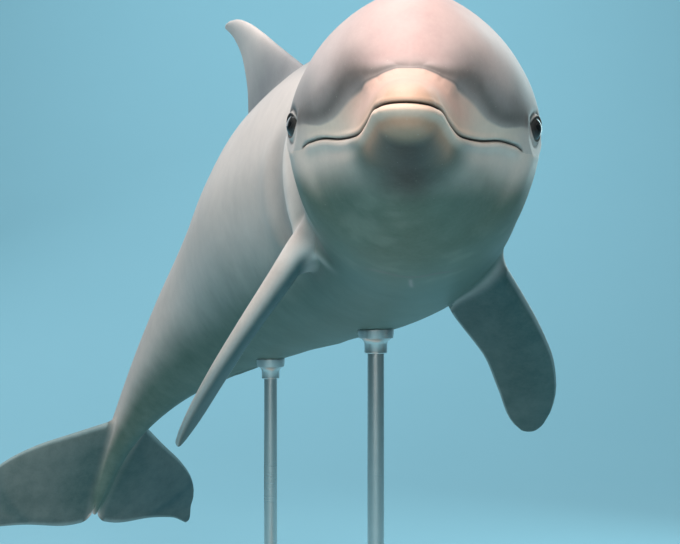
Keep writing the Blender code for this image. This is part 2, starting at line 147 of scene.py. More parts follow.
def dome_share(y, power, root=None):
    """The melon's share of its full size at y: nothing at its front edge, all in its middle."""
    reach = np.where(y < MELON_MIDDLE, MELON_MIDDLE - MELON_FRONT, MELON_BACK - MELON_MIDDLE)
    along = np.clip(np.abs(y - MELON_MIDDLE) / reach, 0, 1)
    ease, full = MELON_EASE**power, (1 + MELON_EASE**2) ** (power / 2)
    along = ((along**2 + MELON_EASE**2) ** (power / 2) - ease) / (full - ease)
    return np.clip(1 - along, 0, 1) ** (1 / (power if root is None else root))


def blunt_end(y):
    """1 along the body, falling to 0 at the beak tip and at the end of the tail stock."""
    front = 1 - np.clip(y, 0, BEAK_ROUND) / BEAK_ROUND
    back = np.clip((y - TAIL_END + TAIL_ROUND) / TAIL_ROUND, 0, 1)
    return np.sqrt(np.clip(1 - front**2 - back**2, NOTHING, 1))


def trunk_and_dome(x, y, z):
    """Distances to the trunk and to the melon's dome."""
    blunt = blunt_end(y)
    up = z - mouth_level(y)
    tall = np.where(up > 0, height_above(y) - mouth_level(y), depth_below(y) + mouth_level(y)) * blunt
    power = lower_fullness(y) + (upper_fullness(y) - lower_fullness(y)) * np.clip(0.5 + up / tall, 0, 1)
    trunk = ring_distance(x, up, half_width(y) * blunt, tall, power)
    over = z - melon_level(y)
    plan = np.where(y < MELON_MIDDLE, MELON_PLAN, 1.75)
    wide = np.maximum(MELON_HALF_WIDTH * dome_share(y, plan, np.where(y < MELON_MIDDLE, 2.0, 1.75)), 1e-4)
    tall = np.where(over > 0, MELON_RISE * dome_share(y, 1.75), melon_drop(y) * dome_share(y, 2.0))
    tall = np.maximum(tall, 1e-4)
    dome = ring_distance(x, over, wide, tall, 2.0 - (2.0 - MELON_FULLNESS) * np.clip(over / tall, 0, 1))
    return trunk, np.where((y <= MELON_FRONT + 1e-4) | (y >= MELON_BACK - 1e-4), 1.0, dome)


def flesh(x, y, z):
    """Distance to the skin of the head and body, about in metres, below zero inside."""
    trunk, dome = trunk_and_dome(x, y, z)
    soft = np.maximum(crease_softness(np.abs(x)), neck_softness(y))
    mix = np.clip(0.5 + 0.5 * (trunk - dome) / soft, 0, 1)
    return trunk + (dome - trunk) * mix - soft * mix * (1 - mix)


# Over the beak and the melon the rays lean forward, so that they meet the steep front of the melon squarely.
LEAN = math.radians(66)
CREASE_Y, FAN_BACK, FAN_END = 0.0755, 0.185, 0.270
beak_height = curve_through((0.03, 0.024), (0.05, 0.030), (0.0755, 0.038))


def along_rays(q):
    """Start points and directions of the rays through capsule points q.

    The capsule is a cylinder of radius 1 round the middle line, with half a ball in front of the beak's root.
    Rays leave the middle line square to it, and fan out from one point into the beak's tip."""
    y = np.maximum(q[:, 1], BEAK_ROUND)
    radius = np.maximum(np.hypot(q[:, 0], q[:, 2]), 1e-9)
    over = np.clip(q[:, 2] / radius, 0, 1) ** 1.4
    on_beak = y < CREASE_Y
    behind = smooth(FAN_END - y, 0, FAN_END - CREASE_Y)
    lean = LEAN * np.where(on_beak, smooth(y, BEAK_ROUND, CREASE_Y), behind)
    fan = np.interp(y, (CREASE_Y, FAN_END), (FAN_BACK, FAN_END))
    root = np.where(on_beak, y + np.tan(lean) * beak_height(y), np.maximum(fan, y))
    start_y = y + (root - y) * over
    ahead = np.tan(lean * over) * radius
    way = np.stack([q[:, 0], np.minimum(q[:, 1] - BEAK_ROUND, 0) - ahead, q[:, 2]], -1)
    way[:, 0] += 1e-7
    way /= np.linalg.norm(way, axis=1, keepdims=True)
    return np.stack([0 * y, start_y, mouth_level(start_y)], -1), way


def cast(q):
    """The points of the straight skin on the rays through capsule points q."""
    start, way = along_rays(q)
    reach = np.full(len(q), 0.1)
    square = np.flatnonzero(way[:, 1] > -1e-6)
    for _ in range(24):
        p = start[square] + way[square] * reach[square, None]
        reach[square] = np.clip(reach[square] - 0.95 * flesh(*p.T), 1e-5, 0.5)
    leaning = np.flatnonzero(way[:, 1] <= -1e-6)
    near, far = np.zeros(len(leaning)), np.full(len(leaning), 0.35)
    for _ in range(32):
        middle = (near + far) / 2
        p = start[leaning] + way[leaning] * middle[:, None]
        within = (flesh(p[:, 0], np.maximum(p[:, 1], 0), p[:, 2]) < 0) & (p[:, 1] > 0)
        near, far = np.where(within, middle, near), np.where(within, far, middle)
    reach[leaning] = near
    return start + way * reach[:, None]


def square_to_skin(p, step=2e-4):
    """The direction out of the flesh at each point."""
    slope = np.empty_like(p)
    for k in range(3):
        ahead, behind = p.copy(), p.copy()
        ahead[:, k] += step
        behind[:, k] -= step
        ahead[:, 1], behind[:, 1] = np.maximum(ahead[:, 1], 0), np.maximum(behind[:, 1], 0)
        slope[:, k] = flesh(*ahead.T) - flesh(*behind.T)
    return slope / np.maximum(np.linalg.norm(slope, axis=1, keepdims=True), 1e-12)


# ---------------------------------------------------------------- skin: the swimming pose
# The spine turns aside, dips and twists on its way to the tail, and carries the straight body with it.
# The eyes of the frame say where the posed body stands.
TURN_ASIDE = ((0, -4.5), (0.30, -4.5), (0.55, 9), (0.80, 19), (1.15, 22), (1.50, 38), (1.80, 45), (2.05, 71))
DIP = ((0, 1), (0.30, 1), (0.55, 3), (0.80, 6), (1.15, 17), (1.50, 31), (1.80, 48), (2.05, 78))
ROLL = ((0, -1.3), (0.30, -1.3), (0.70, 9), (1.15, 8), (1.40, 1), (2.05, -27))
EYE_Y, EYE_Z, EYE_RADIUS, EYE_PROUD = 0.243, 0.0135, 0.0175, 0.0022


def spine_frames(samples=1100):
    """Position along the straight body, then place and the left, back and up directions in the pose."""
    s = np.linspace(0, 2.2, samples)
    a, d, r = (np.radians(curve_through(*knots)(s)) for knots in (TURN_ASIDE, DIP, ROLL))
    back = np.stack([-np.sin(a) * np.cos(d), np.cos(a) * np.cos(d), -np.sin(d)], -1)
    level = np.stack([np.cos(a), np.sin(a), 0 * a], -1)
    upright = np.cross(level, back)
    left = level * np.cos(r)[:, None] + upright * np.sin(r)[:, None]
    up = upright * np.cos(r)[:, None] - level * np.sin(r)[:, None]
    place = np.zeros_like(back)
    place[1:] = np.cumsum((back[1:] + back[:-1]) / 2 * np.diff(s)[:, None], 0)
    return s, place, left, back, up


SPINE = spine_frames()
stands_at = np.zeros(3)


def spine_at(y):
    """Place, left, back and up of the posed spine at y."""
    s, *fields = SPINE
    return [np.stack([np.interp(y, s, v[:, k]) for k in range(3)], -1) for v in fields]


def posed(points):
    """Points of the straight body carried to the swimming pose."""
    p = np.asarray(points, float)
    y = np.clip(p[..., 1], 0, SPINE[0][-1])
    place, left, back, up = spine_at(y)
    ahead = (p[..., 1] - y)[..., None]
    return stands_at + place + p[..., :1] * left + p[..., 2:] * up + ahead * back


def posed_way(points, way):
    """Directions at points of the straight body, carried to the pose."""
    _, left, back, up = spine_at(points[..., 1])
    return way[..., :1] * left + way[..., 1:2] * back + way[..., 2:] * up


turns = np.linspace(0.2, 2.9, 900)
side_ring = cast(np.stack([np.sin(turns), np.full(900, EYE_Y), np.cos(turns)], -1))
eye_spot = side_ring[np.argmin(np.abs(side_ring[:, 2] - EYE_Z))]
eye_out = square_to_skin(eye_spot[None])[0]
eye_middle = eye_spot - eye_out * (EYE_RADIUS - EYE_PROUD)


def middle_of(node):
    low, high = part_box(node)
    return (np.array(low) + np.array(high)) / 2


stands_at = middle_of("eye_left") - posed(eye_middle)

# ---------------------------------------------------------------- skin: folds and openings
# Mouth, crease, lids, blowhole, ear and the belly's slits are pressed into the straight skin or raised on it.
# Each has a measure of its own: a distance across the fold, or a ratio that is 1 at an opening's rim.
EYE_LONG, EYE_TALL, EYE_TILT = 0.0150, 0.0118, math.radians(-14)
LID_THICK, EYE_ROOM = 0.0009, 0.0045
BLOWHOLE_Y, BLOWHOLE_HALF, BLOWHOLE_BEND = 0.290, 0.0175, 24.0
EAR = (0.325, 0.002)
NAVEL_Y, SLIT_FRONT, SLIT_BACK, VENT_Y = 0.965, 1.335, 1.425, 1.478


def bump(t, width):
    return np.exp(-((t / width) ** 2))


def unit(v):
    return np.asarray(v) / np.linalg.norm(v)


def above_mouth(p):
    """Distance of each point above the line of the mouth."""
    slope = (mouth_level(p[:, 1] + 1e-3) - mouth_level(np.maximum(p[:, 1] - 1e-3, 0))) / 2e-3
    return (p[:, 2] - mouth_level(p[:, 1])) / np.sqrt(1 + slope**2)


crease_y = curve_through(
    (0.0, 0.0742), (0.010, 0.0746), (0.018, 0.0758), (0.026, 0.0795), (0.033, 0.0866), (0.0405, 0.0968),
    (0.0474, 0.1072), (0.0573, 0.1226), (0.0677, 0.1412), (0.078, 0.160), (0.12, 0.24),
)
crease_z = curve_through(
    (0.0, 0.0382), (0.010, 0.0374), (0.018, 0.0355), (0.026, 0.0328), (0.033, 0.0298), (0.0405, 0.0266),
    (0.0474, 0.0230), (0.0573, 0.0165), (0.0677, 0.0085), (0.078, 0.0030), (0.12, -0.01),
)
crease_level = curve_through(
    (0.13, 0.0120), (0.147, 0.0068), (0.165, 0.0046), (0.183, 0.0070),
    (0.200, 0.0100), (0.222, 0.0105), (0.262, 0.0060), (0.35, 0.030),
)


def past_crease(p):
    """About the distance from the melon's crease: below zero on the beak's side, above on the melon's."""
    side = np.abs(p[:, 0])
    from_plan = 0.62 * (p[:, 1] - crease_y(side)) + 0.78 * (p[:, 2] - crease_z(side))
    share = smooth(side, 0.056, 0.078)
    return from_plan * (1 - share) + (p[:, 2] - crease_level(p[:, 1])) * share


GAZE_FORWARD = 0.42  # how far the opening of the lids is turned to the front, as a tangent
gaze = unit(eye_out - GAZE_FORWARD * np.array([0, 1.0, 0]))
eye_back = unit(np.cross([0, 0, 1.0], gaze))
eye_up = np.cross(gaze, eye_back)


def round_eye(p):
    """Points on the ball of the nearer eye: back and up along the lids' opening, and out along the gaze."""
    mirrored = np.stack([np.abs(p[:, 0]), p[:, 1], p[:, 2]], -1) - eye_middle
    reach = np.linalg.norm(mirrored, axis=1)
    on_ball = mirrored * (EYE_RADIUS / np.maximum(reach, 1e-6))[:, None]
    on_ball *= np.maximum(reach / EYE_RADIUS, 1)[:, None]
    back, up, out = on_ball @ eye_back, on_ball @ eye_up, on_ball @ gaze
    c, s = math.cos(EYE_TILT), math.sin(EYE_TILT)
    return back * c + up * s, up * c - back * s, out


def eye_ratio(p):
    """1 on the rim of the lids, less inside the almond of the opening; far from the eye it is large."""
    back, up, out = round_eye(p)
    tall = EYE_TALL * np.where(up > 0, 0.92, 1.06)
    power = 1.55
    along, over = (np.abs(t) ** 2 + 0.01 for t in (back / EYE_LONG, up / tall))
    ratio = (along ** (power / 2) + over ** (power / 2)) ** (1 / power)
    return np.where((out > 0) & (np.abs(p[:, 1] - EYE_Y) < 0.08), ratio, 9.0)


def from_blowhole(p):
    """Distance behind the blowhole's curved slit, and how far out along it each point is, 1 at its ends."""
    off = p[:, 1] - (BLOWHOLE_Y - BLOWHOLE_BEND * p[:, 0] ** 2)
    return np.where(p[:, 2] > 0.05, off, 0.2), np.abs(p[:, 0]) / BLOWHOLE_HALF


neck_fold = curve_through(
    (-0.12, 0.462), (-0.08, 0.488), (-0.045, 0.522), (0.0, 0.524), (0.05, 0.518), (0.10, 0.500),
)


def folded(p, out):
    """The straight skin with its folds and openings."""
    x, y, z = p.T
    rise = np.zeros(len(p))

    over = above_mouth(p)
    mouth = smooth(GAPE + 0.003 - y, 0, 0.016)
    roll = 0.0011 + 0.0013 * smooth(0.085 - y, 0, 0.06)
    rise += mouth * (-0.0027 * bump(over + 0.0001, 0.0010) + roll * bump(over + 0.0052, 0.0040))
    rise += mouth * (0.0006 * bump(over - 0.0034, 0.0022) - 0.0006 * bump(over + 0.0120, 0.0050))

    crease = past_crease(p)
    on_crease = smooth(0.026 - np.abs(x), 0, 0.020) * (z > 0)
    rise += on_crease * (0.0007 * bump(crease + 0.0048, 0.0028) - 0.0013 * bump(crease, 0.0017))

    slit, reach = from_blowhole(p)
    open_hole = smooth(1.12 - reach, 0, 0.25)
    rise += open_hole * (-0.0050 * bump(slit, 0.0017) + 0.0010 * bump(np.abs(slit) - 0.0060, 0.0036))
    rise -= 0.0015 * bump(np.hypot(x, y - BLOWHOLE_Y), 0.034) * (z > 0.05)

    rise -= 0.0014 * bump(np.hypot(y - EAR[0], z - EAR[1]), 0.0016) * (np.abs(x) > 0.06)

    under = smooth(-z, 0.05, 0.08)
    rise -= under * 0.0030 * bump(x, 0.0022) * bump(y - NAVEL_Y, 0.009)
    rise += under * 0.0010 * bump(np.hypot(x / 0.7, y - NAVEL_Y) - 0.012, 0.005)
    length = smooth(y, SLIT_FRONT - 0.006, SLIT_FRONT + 0.012) * smooth(SLIT_BACK + 0.006 - y, 0, 0.018)
    rise += under * length * (-0.0038 * bump(x, 0.0017) + 0.0016 * bump(np.abs(x) - 0.006, 0.004))
    rise -= under * 0.0032 * bump(np.hypot(x * 1.4, y - VENT_Y), 0.0035)

    # the neck bends to the right, so the skin folds on that side, and the folds run down to the flipper
    right = smooth(-x, 0.03, 0.07) * smooth(0.105 - z, 0, 0.06) * smooth(z, -0.115, -0.075)
    behind = y - neck_fold(z)
    rise += right * (0.0062 * bump(behind, 0.0165) - 0.0056 * bump(behind + 0.044, 0.021))
    rise += right * (0.0024 * bump(behind - 0.130, 0.030) - 0.0054 * bump(behind - 0.066, 0.032))

    lifted = p + out * rise[:, None]

    # lids: the skin is drawn over the ball of the eye, and dives behind it inside the opening
    ratio = eye_ratio(p)
    back, up, _ = round_eye(p)
    near = np.flatnonzero(ratio < 3.6)
    r, b, u = ratio[near], back[near], up[near]
    middle = eye_middle * np.stack([np.sign(x[near]), np.ones(len(near)), np.ones(len(near))], -1)
    from_ball = p[near] - middle
    from_ball /= np.linalg.norm(from_ball, axis=1, keepdims=True)
    upper = smooth(u, -0.004, 0.006)
    on_ball = EYE_RADIUS + LID_THICK + (0.0006 + 0.0007 * upper) * bump(r - 1.20, 0.15)
    on_ball -= EYE_ROOM * smooth(1.05 - r, 0, 0.10)
    target = middle + from_ball * on_ball[:, None]
    pull = 1 - smooth(r, 1.10, 2.05)
    around = np.arctan2(u, b)
    below = smooth(-u, -0.004, 0.006)
    wrinkle = -0.0010 * bump(r - 1.60, 0.08) * upper - 0.0011 * bump(r - 1.55, 0.08) * below
    wrinkle -= 0.0007 * bump(r - 1.95, 0.09) * below * (0.7 + 0.3 * np.cos(3 * around))
    wrinkle += 0.0009 * bump(r - 2.3, 0.22) * below
    front = smooth(-b, 0.010, 0.017)
    wrinkle -= 0.0006 * front * bump(u + 0.35 * (b + 0.015), 0.0020) * smooth(0.030 + b, 0, 0.012)
    lifted[near] = lifted[near] + (target - lifted[near]) * pull[:, None] + out[near] * wrinkle[:, None]
    return lifted


# ---------------------------------------------------------------- skin: the net
# A net of rings and lengthwise lines is laid on the capsule, and made finer at the folds and openings.
AROUND = 116
TIP_TILTS = np.radians([2.5, 5, 8, 12, 17, 23, 30, 38, 47, 57, 68, 79])
TAIL_TILTS = np.radians([0, 5, 10, 15, 20, 25, 31, 37, 44, 52, 61, 72, 83])
HEAD_END, TAIL_START = 0.42, 1.60
HEAD_STEP, BODY_STEP, TAIL_STEP = 0.0048, 0.0115, 0.0062
CREASE_HALF, CREASE_BACK = 0.070, 0.16  # the crease is made finer within this


def laid_net():
    ys = [
        *np.arange(BEAK_ROUND, HEAD_END, HEAD_STEP),
        *np.arange(HEAD_END, TAIL_START, BODY_STEP),
        *np.arange(TAIL_START, TAIL_END - TAIL_ROUND, TAIL_STEP),
        *(TAIL_END - TAIL_ROUND + TAIL_ROUND * np.sin(TAIL_TILTS)),
    ]
    turn = np.linspace(0, 2 * math.pi, AROUND, endpoint=False)

    def ring(radius, y):
        return np.stack([radius * np.sin(turn), np.full(AROUND, y), radius * np.cos(turn)], -1)

    rings = [ring(math.sin(t), BEAK_ROUND - math.cos(t)) for t in TIP_TILTS] + [ring(1.0, y) for y in ys]
    bm = bmesh.new()
    tip = bm.verts.new((0, BEAK_ROUND - 1, 0))
    end = bm.verts.new((0, TAIL_END, 0))
    corners = [[bm.verts.new(q) for q in ring.tolist()] for ring in rings]
    for i in range(AROUND):
        bm.faces.new((tip, corners[0][i], corners[0][i - 1]))
        bm.faces.new((end, corners[-1][i - 1], corners[-1][i]))
    for one, other in zip(corners[:-1], corners[1:]):
        for i in range(AROUND):
            bm.faces.new((one[i - 1], one[i], other[i], other[i - 1]))
    return bm


def net_points(bm):
    return np.array([v.co for v in bm.verts])


def refine(bm, wanted):
    """Halves every face whose middle, on the straight skin, is wanted."""
    faces = [f for f in bm.faces if f.calc_center_median().y < 0.60]
    p = cast(np.array([f.calc_center_median() for f in faces]))
    chosen = wanted(p)
    edges = {e for f, keep in zip(faces, chosen) if keep for e in f.edges}
    bmesh.ops.subdivide_edges(bm, edges=list(edges), cuts=1, use_grid_fill=True)


def near_folds(mouth, crease, eye, hole):
    def wanted(p):
        over = np.abs(above_mouth(p)) + np.maximum(p[:, 1] - GAPE - 0.006, 0)
        slit, reach = from_blowhole(p)
        found = over < mouth
        at_crease = (np.abs(p[:, 0]) < CREASE_HALF) & (p[:, 1] < CREASE_BACK) & (p[:, 2] > 0)
        found |= (np.abs(past_crease(p)) < crease) & at_crease
        found |= np.abs(eye_ratio(p) - 1.15) < eye - 1.15
        found |= (np.abs(slit) < hole) & (reach < 1 + hole * 20)
        return found

    return wanted


net = laid_net()
rim_of, rim_place = net.verts.layers.int.new("rim_of"), net.verts.layers.int.new("rim_place")

refine(net, near_folds(mouth=0.009, crease=0.012, eye=2.7, hole=0.011))
refine(net, near_folds(mouth=0.0052, crease=0.0062, eye=2.1, hole=0.007))
refine(net, near_folds(mouth=0.0024, crease=0.0022, eye=1.45, hole=0.0035))


# ---------------------------------------------------------------- skin: fins and flukes
# Fins are lofted blades. Each grows out of an oval that is opened in the net, through a hollow fillet.
# A blade is given by its front and back edges and thickness along its span, and by where its root stands.
EDGE = 0.0007  # half thickness that a blade keeps at its edges
FLUKE_SPAN, FLUKE_RISE = 0.286, 0.036
RIM_EASES, RIM_STEPS, BESIDE_ROWS, BESIDE_EASES = 25, 12, 4, 14  # rounds of work on the net at a blade's rim
CREASE_EASES = 40


class Blade:
    """A fin that stands in the straight body, given by its span, its chord and half its thickness."""

    def __init__(self, front, back, thickness, tip, oval, lift, side=1):
        self.front, self.back, self.thickness = (curve_through(*k) for k in (front, back, thickness))
        self.tip, self.oval, self.lift, self.side = tip, oval, lift, side
        self.round = float(self.back(tip) - self.front(tip)) / 2

    def section(self, span, angle):
        """Chord and half thickness at an angle round the section: 0 at the front, pi at the back edge."""
        share = (1 - np.cos(angle)) / 2
        end = np.clip((span - self.tip + self.round) / self.round, 0, 1)
        shrink = np.sqrt(np.maximum(1 - end**2, 0.0004))
        front, back = self.front(span), self.back(span)
        chord = (front + back) / 2 + (back - front) * (share - 0.5) * shrink
        lens = 1.3 * self.thickness(span) * np.sqrt(share) * (1 - share) * (1 - 0.25 * share)
        rounded = EDGE * np.minimum(1, 4 * np.abs(np.sin(angle)))
        return chord, (rounded + lens) * shrink * np.sign(np.sin(angle))

    def carried(self, p):
        return posed(p)


class DorsalFin(Blade):
    def tone(self, angle, out):
        return np.zeros(len(angle))

    def place(self, span, chord, half):
        return np.stack([half, chord, span], -1)

    def local(self, p):
        return np.stack([p[:, 2], p[:, 1], p[:, 0]], -1), p[:, 2] > 0.1


class Fluke(Blade):
    # the flukes take the fins' slate nearly all over, partly painted shade
    def tone(self, angle, out):
        return np.full(len(angle), 0.92)

    def place(self, span, chord, half):
        return np.stack([span * self.side, chord, half + FLUKE_RISE * (span / FLUKE_SPAN) ** 2], -1)

    def local(self, p):
        return np.stack([p[:, 0] * self.side, p[:, 1], p[:, 2]], -1), p[:, 0] * self.side > 0


class Flipper(Blade):
    """A flipper stands on its root with axes of its own, which the pose turns with the chest."""

    def stand(self, root, span_way, chord_way):
        self.root = np.array(root)
        out = unit(span_way)
        aft = unit(np.array(chord_way) - np.dot(chord_way, out) * out)
        self.ways = np.stack([out, aft, np.cross(out, aft)])
        place, left, back, up = spine_at(self.root[1])
        self.chest = np.stack([left, back, up])
        self.root_posed = posed(self.root)
        return self

    def tone(self, angle, out):
        """Slate with painted shade on the face towards the belly; the other is light at the root and darker
        to the tip.
        """
        low = -0.35 if self.side > 0 else 0.25
        inner = smooth(-self.side * np.sin(angle), low, low + 0.5)
        return inner + (1 - inner) * (0.02 + 0.60 * out)

    def place(self, span, chord, half):
        return self.root + np.stack(np.broadcast_arrays(span, chord, half), -1) @ self.ways @ self.chest.T

    def carried(self, p):
        return self.root_posed + (p - self.root) @ self.chest

    def local(self, p):
        found = (posed(p) - self.root_posed) @ self.ways.T
        return found, (p[:, 0] * self.side > 0) & (found[:, 0] > -0.12)


dorsal = DorsalFin(
    front=(
        (0.16, 0.775), (0.20, 0.838), (0.24, 0.894), (0.28, 0.945),
        (0.32, 0.990), (0.36, 1.036), (0.39, 1.080), (0.402, 1.112),
    ),
    back=(
        (0.16, 1.185), (0.20, 1.141), (0.24, 1.107), (0.28, 1.088),
        (0.32, 1.083), (0.36, 1.095), (0.39, 1.115), (0.402, 1.126),
    ),
    thickness=((0.16, 0.042), (0.20, 0.034), (0.28, 0.023), (0.36, 0.013), (0.402, 0.006)),
    tip=0.402, oval=(0.9825, 0.1825, 0.0, 0.030), lift=0.022,
)
flukes = [
    Fluke(
        front=(
            (0.0, 1.798), (0.037, 1.822), (0.10, 1.867), (0.173, 1.916),
            (0.235, 1.969), (0.272, 2.020), (0.286, 2.063),
        ),
        back=(
            (0.0, 2.040), (0.025, 2.061), (0.074, 2.067), (0.148, 2.063),
            (0.222, 2.069), (0.272, 2.087), (0.286, 2.093),
        ),
        thickness=((0.0, 0.031), (0.05, 0.026), (0.15, 0.015), (0.24, 0.008), (0.286, 0.004)),
        tip=FLUKE_SPAN, oval=(1.919, 0.116, 0.0, 0.0135), lift=0.018, side=side,
    )
    for side in (1, -1)
]
# The front of each flipper's root in the straight body, and the ways of its blade and chord in the pose.
FLIPPER_ROOTS = {
    1: ((0.106, 0.473, -0.1167), (0.496, 0.598, -0.630), (-0.867, 0.380, -0.322)),
    -1: ((-0.137, 0.474, -0.090), (-0.569, 0.154, -0.808), (0.239, 0.971, 0.016)),
}
flippers = [
    Flipper(
        front=(
            (-0.04, 0.0), (0.0, 0.0), (0.07, 0.0017), (0.16, 0.0102),
            (0.225, 0.0294), (0.27, 0.0547), (0.302, 0.0852),
        ),
        back=(
            (-0.04, 0.071), (0.0, 0.0772), (0.055, 0.090), (0.125, 0.088),
            (0.20, 0.0995), (0.27, 0.1116), (0.302, 0.1064),
        ),
        thickness=((-0.04, 0.038), (0.0, 0.032), (0.09, 0.023), (0.20, 0.014), (0.302, 0.006)),
        tip=0.302, oval=(0.037, 0.050, 0.0, 0.027), lift=0.030, side=side,
    ).stand(*root)
    for side, root in FLIPPER_ROOTS.items()
]
blades = [dorsal, *flippers, *flukes]


def oval_place(blade, q):
    """Where capsule points lie against the blade's oval: along, across, and whether they face the blade."""
    local, facing = blade.local(cast(q))
    middle, half_chord, middle_half, half_thick = blade.oval
    return (local[:, 1] - middle) / half_chord, (local[:, 2] - middle_half) / half_thick, facing


def oval_size(along, across):
    return (np.abs(along) ** 2.2 + np.abs(across) ** 2.2) ** (1 / 2.2)


def opened(bm, blade, finer):
    """Opens the blade's oval in the net; gives the net corners round it in order, and the angle of each."""

    def faces_within(size):
        faces = [f for f in bm.faces]
        along, across, facing = oval_place(blade, np.array([f.calc_center_median() for f in faces]))
        inside = (oval_size(along, across) < size) & facing
        return [f for f, found in zip(faces, inside) if found]

    if finer:
        edges = {e for f in faces_within(1.5) for e in f.edges}
        bmesh.ops.subdivide_edges(bm, edges=list(edges), cuts=1, use_grid_fill=True)
    closed_before = {e for e in bm.edges if len(e.link_faces) == 1}
    bmesh.ops.delete(bm, geom=faces_within(1.0), context="FACES")
    rim = {e for e in bm.edges if len(e.link_faces) == 1} - closed_before
    edge = rim.pop()
    loop = [edge.verts[0], edge.verts[1]]
    while rim:
        edge = next(e for e in loop[-1].link_edges if e in rim)
        rim.remove(edge)
        if edge.other_vert(loop[-1]) != loop[0]:
            loop.append(edge.other_vert(loop[-1]))

    # the rim of the hole is eased onto the oval, evenly, and the net beside it follows
    along, across, _ = oval_place(blade, np.array([v.co for v in loop]))
    angle = np.unwrap(np.arctan2(across, -along))
    if angle[-1] < angle[0]:
        loop.reverse()
        along, across, _ = oval_place(blade, np.array([v.co for v in loop]))
        angle = np.unwrap(np.arctan2(across, -along))
    even = 2 * math.pi * np.arange(len(loop)) / len(loop)
    uneven = angle - even
    for _ in range(RIM_EASES):
        uneven = (np.roll(uneven, 1) + 2 * uneven + np.roll(uneven, -1)) / 4
    angle = even + uneven
    aim_along, aim_across = -np.cos(angle), np.sin(angle)
    size = oval_size(aim_along, aim_across)
    aim = np.stack([aim_along / size, aim_across / size], -1)
    start = np.array([v.co for v in loop])
    turn, y = np.arctan2(start[:, 0], start[:, 2]), start[:, 1]

    def at(turn, y):
        along, across, _ = oval_place(blade, np.stack([np.sin(turn), y, np.cos(turn)], -1))
        return np.stack([along, across], -1)

    for _ in range(RIM_STEPS):
        here = at(turn, y)
        by_turn, by_y = (at(turn + 1e-4, y) - here) / 1e-4, (at(turn, y + 1e-5) - here) / 1e-5
        miss = aim - here
        spread = by_turn[:, 0] * by_y[:, 1] - by_turn[:, 1] * by_y[:, 0]
        turn_step = (miss[:, 0] * by_y[:, 1] - miss[:, 1] * by_y[:, 0]) / spread
        y_step = (by_turn[:, 0] * miss[:, 1] - by_turn[:, 1] * miss[:, 0]) / spread
        turn += np.clip(turn_step, -0.05, 0.05)
        y += np.clip(y_step, -0.005, 0.005)
    for v, t, along_body in zip(loop, turn, y):
        v.co = (math.sin(t), along_body, math.cos(t))

    held, beside, edge_of = set(loop), [], list(loop)
    for _ in range(BESIDE_ROWS):
        edge_of = {w for v in edge_of for e in v.link_edges for w in e.verts} - held - set(beside)
        edge_of = sorted(edge_of, key=lambda v: v.co[:])
        beside += edge_of
    for _ in range(BESIDE_EASES):
        moved = []
        for v in beside:
            mean = sum((e.other_vert(v).co for e in v.link_edges), Vector()) / len(v.link_edges)
            reach = math.hypot(mean.x, mean.z)
            moved.append((mean.x / reach, mean.y, mean.z / reach))
        for v, co in zip(beside, moved):
            v.co = co
    return loop, angle


angles = []
for number, blade in enumerate(blades):
    loop, angle = opened(net, blade, finer=isinstance(blade, Flipper))
    angles.append(angle)
    for place, v in enumerate(loop):
        v[rim_of], v[rim_place] = number + 1, place
net.verts.index_update()
rims = []
for number, angle in enumerate(angles):
    rim = sorted((v[rim_place], v.index) for v in net.verts if v[rim_of] == number + 1)
    rims.append((np.array([index for _, index in rim]), angle))

on_net = cast(net_points(net))
outwards = square_to_skin(on_net)
straight = folded(on_net, outwards)

# beside the middle the crease is drawn smooth, so that the melon runs out softly over the cheeks
ties = np.array([[v.index for v in e.verts] for e in net.edges])
both = np.concatenate([ties, ties[:, ::-1]])
neighbours = np.bincount(both[:, 0], minlength=len(straight))
off_middle = np.abs(on_net[:, 0])
crease_ease = smooth(off_middle, 0.010, 0.022) * smooth(0.070 - off_middle, 0, 0.016)
crease_ease *= bump(past_crease(on_net) - 0.004, 0.0125) * smooth(above_mouth(on_net), 0.007, 0.014)
for _ in range(CREASE_EASES):
    mean = np.stack([np.bincount(both[:, 0], straight[both[:, 1], k], len(straight)) for k in range(3)], -1)
    straight += 0.6 * crease_ease[:, None] * (mean / neighbours[:, None] - straight)
skin_points = posed(straight)
skin_out = posed_way(on_net, outwards)
faces = [[v.index for v in f.verts] for f in net.faces]

points, straights = [skin_points], [straight]
fin_share, chord_share, blade_tone_and_shade = ([np.full(len(straight), value)] for value in (0.0, 0.5, 0.0))


def add_ring(ring, ring_straight, fin, chord, tone):
    """Adds a ring of points to the skin and gives their numbers."""
    first = sum(len(block) for block in points)
    points.append(ring)
    straights.append(ring_straight)
    fin_share.append(np.full(len(ring), fin))
    chord_share.append(chord)
    blade_tone_and_shade.append(np.resize(tone, len(ring)))
    return np.arange(first, first + len(ring))


def join(one, other):
    for i in range(len(one)):
        faces.append([one[i - 1], one[i], other[i], other[i - 1]])


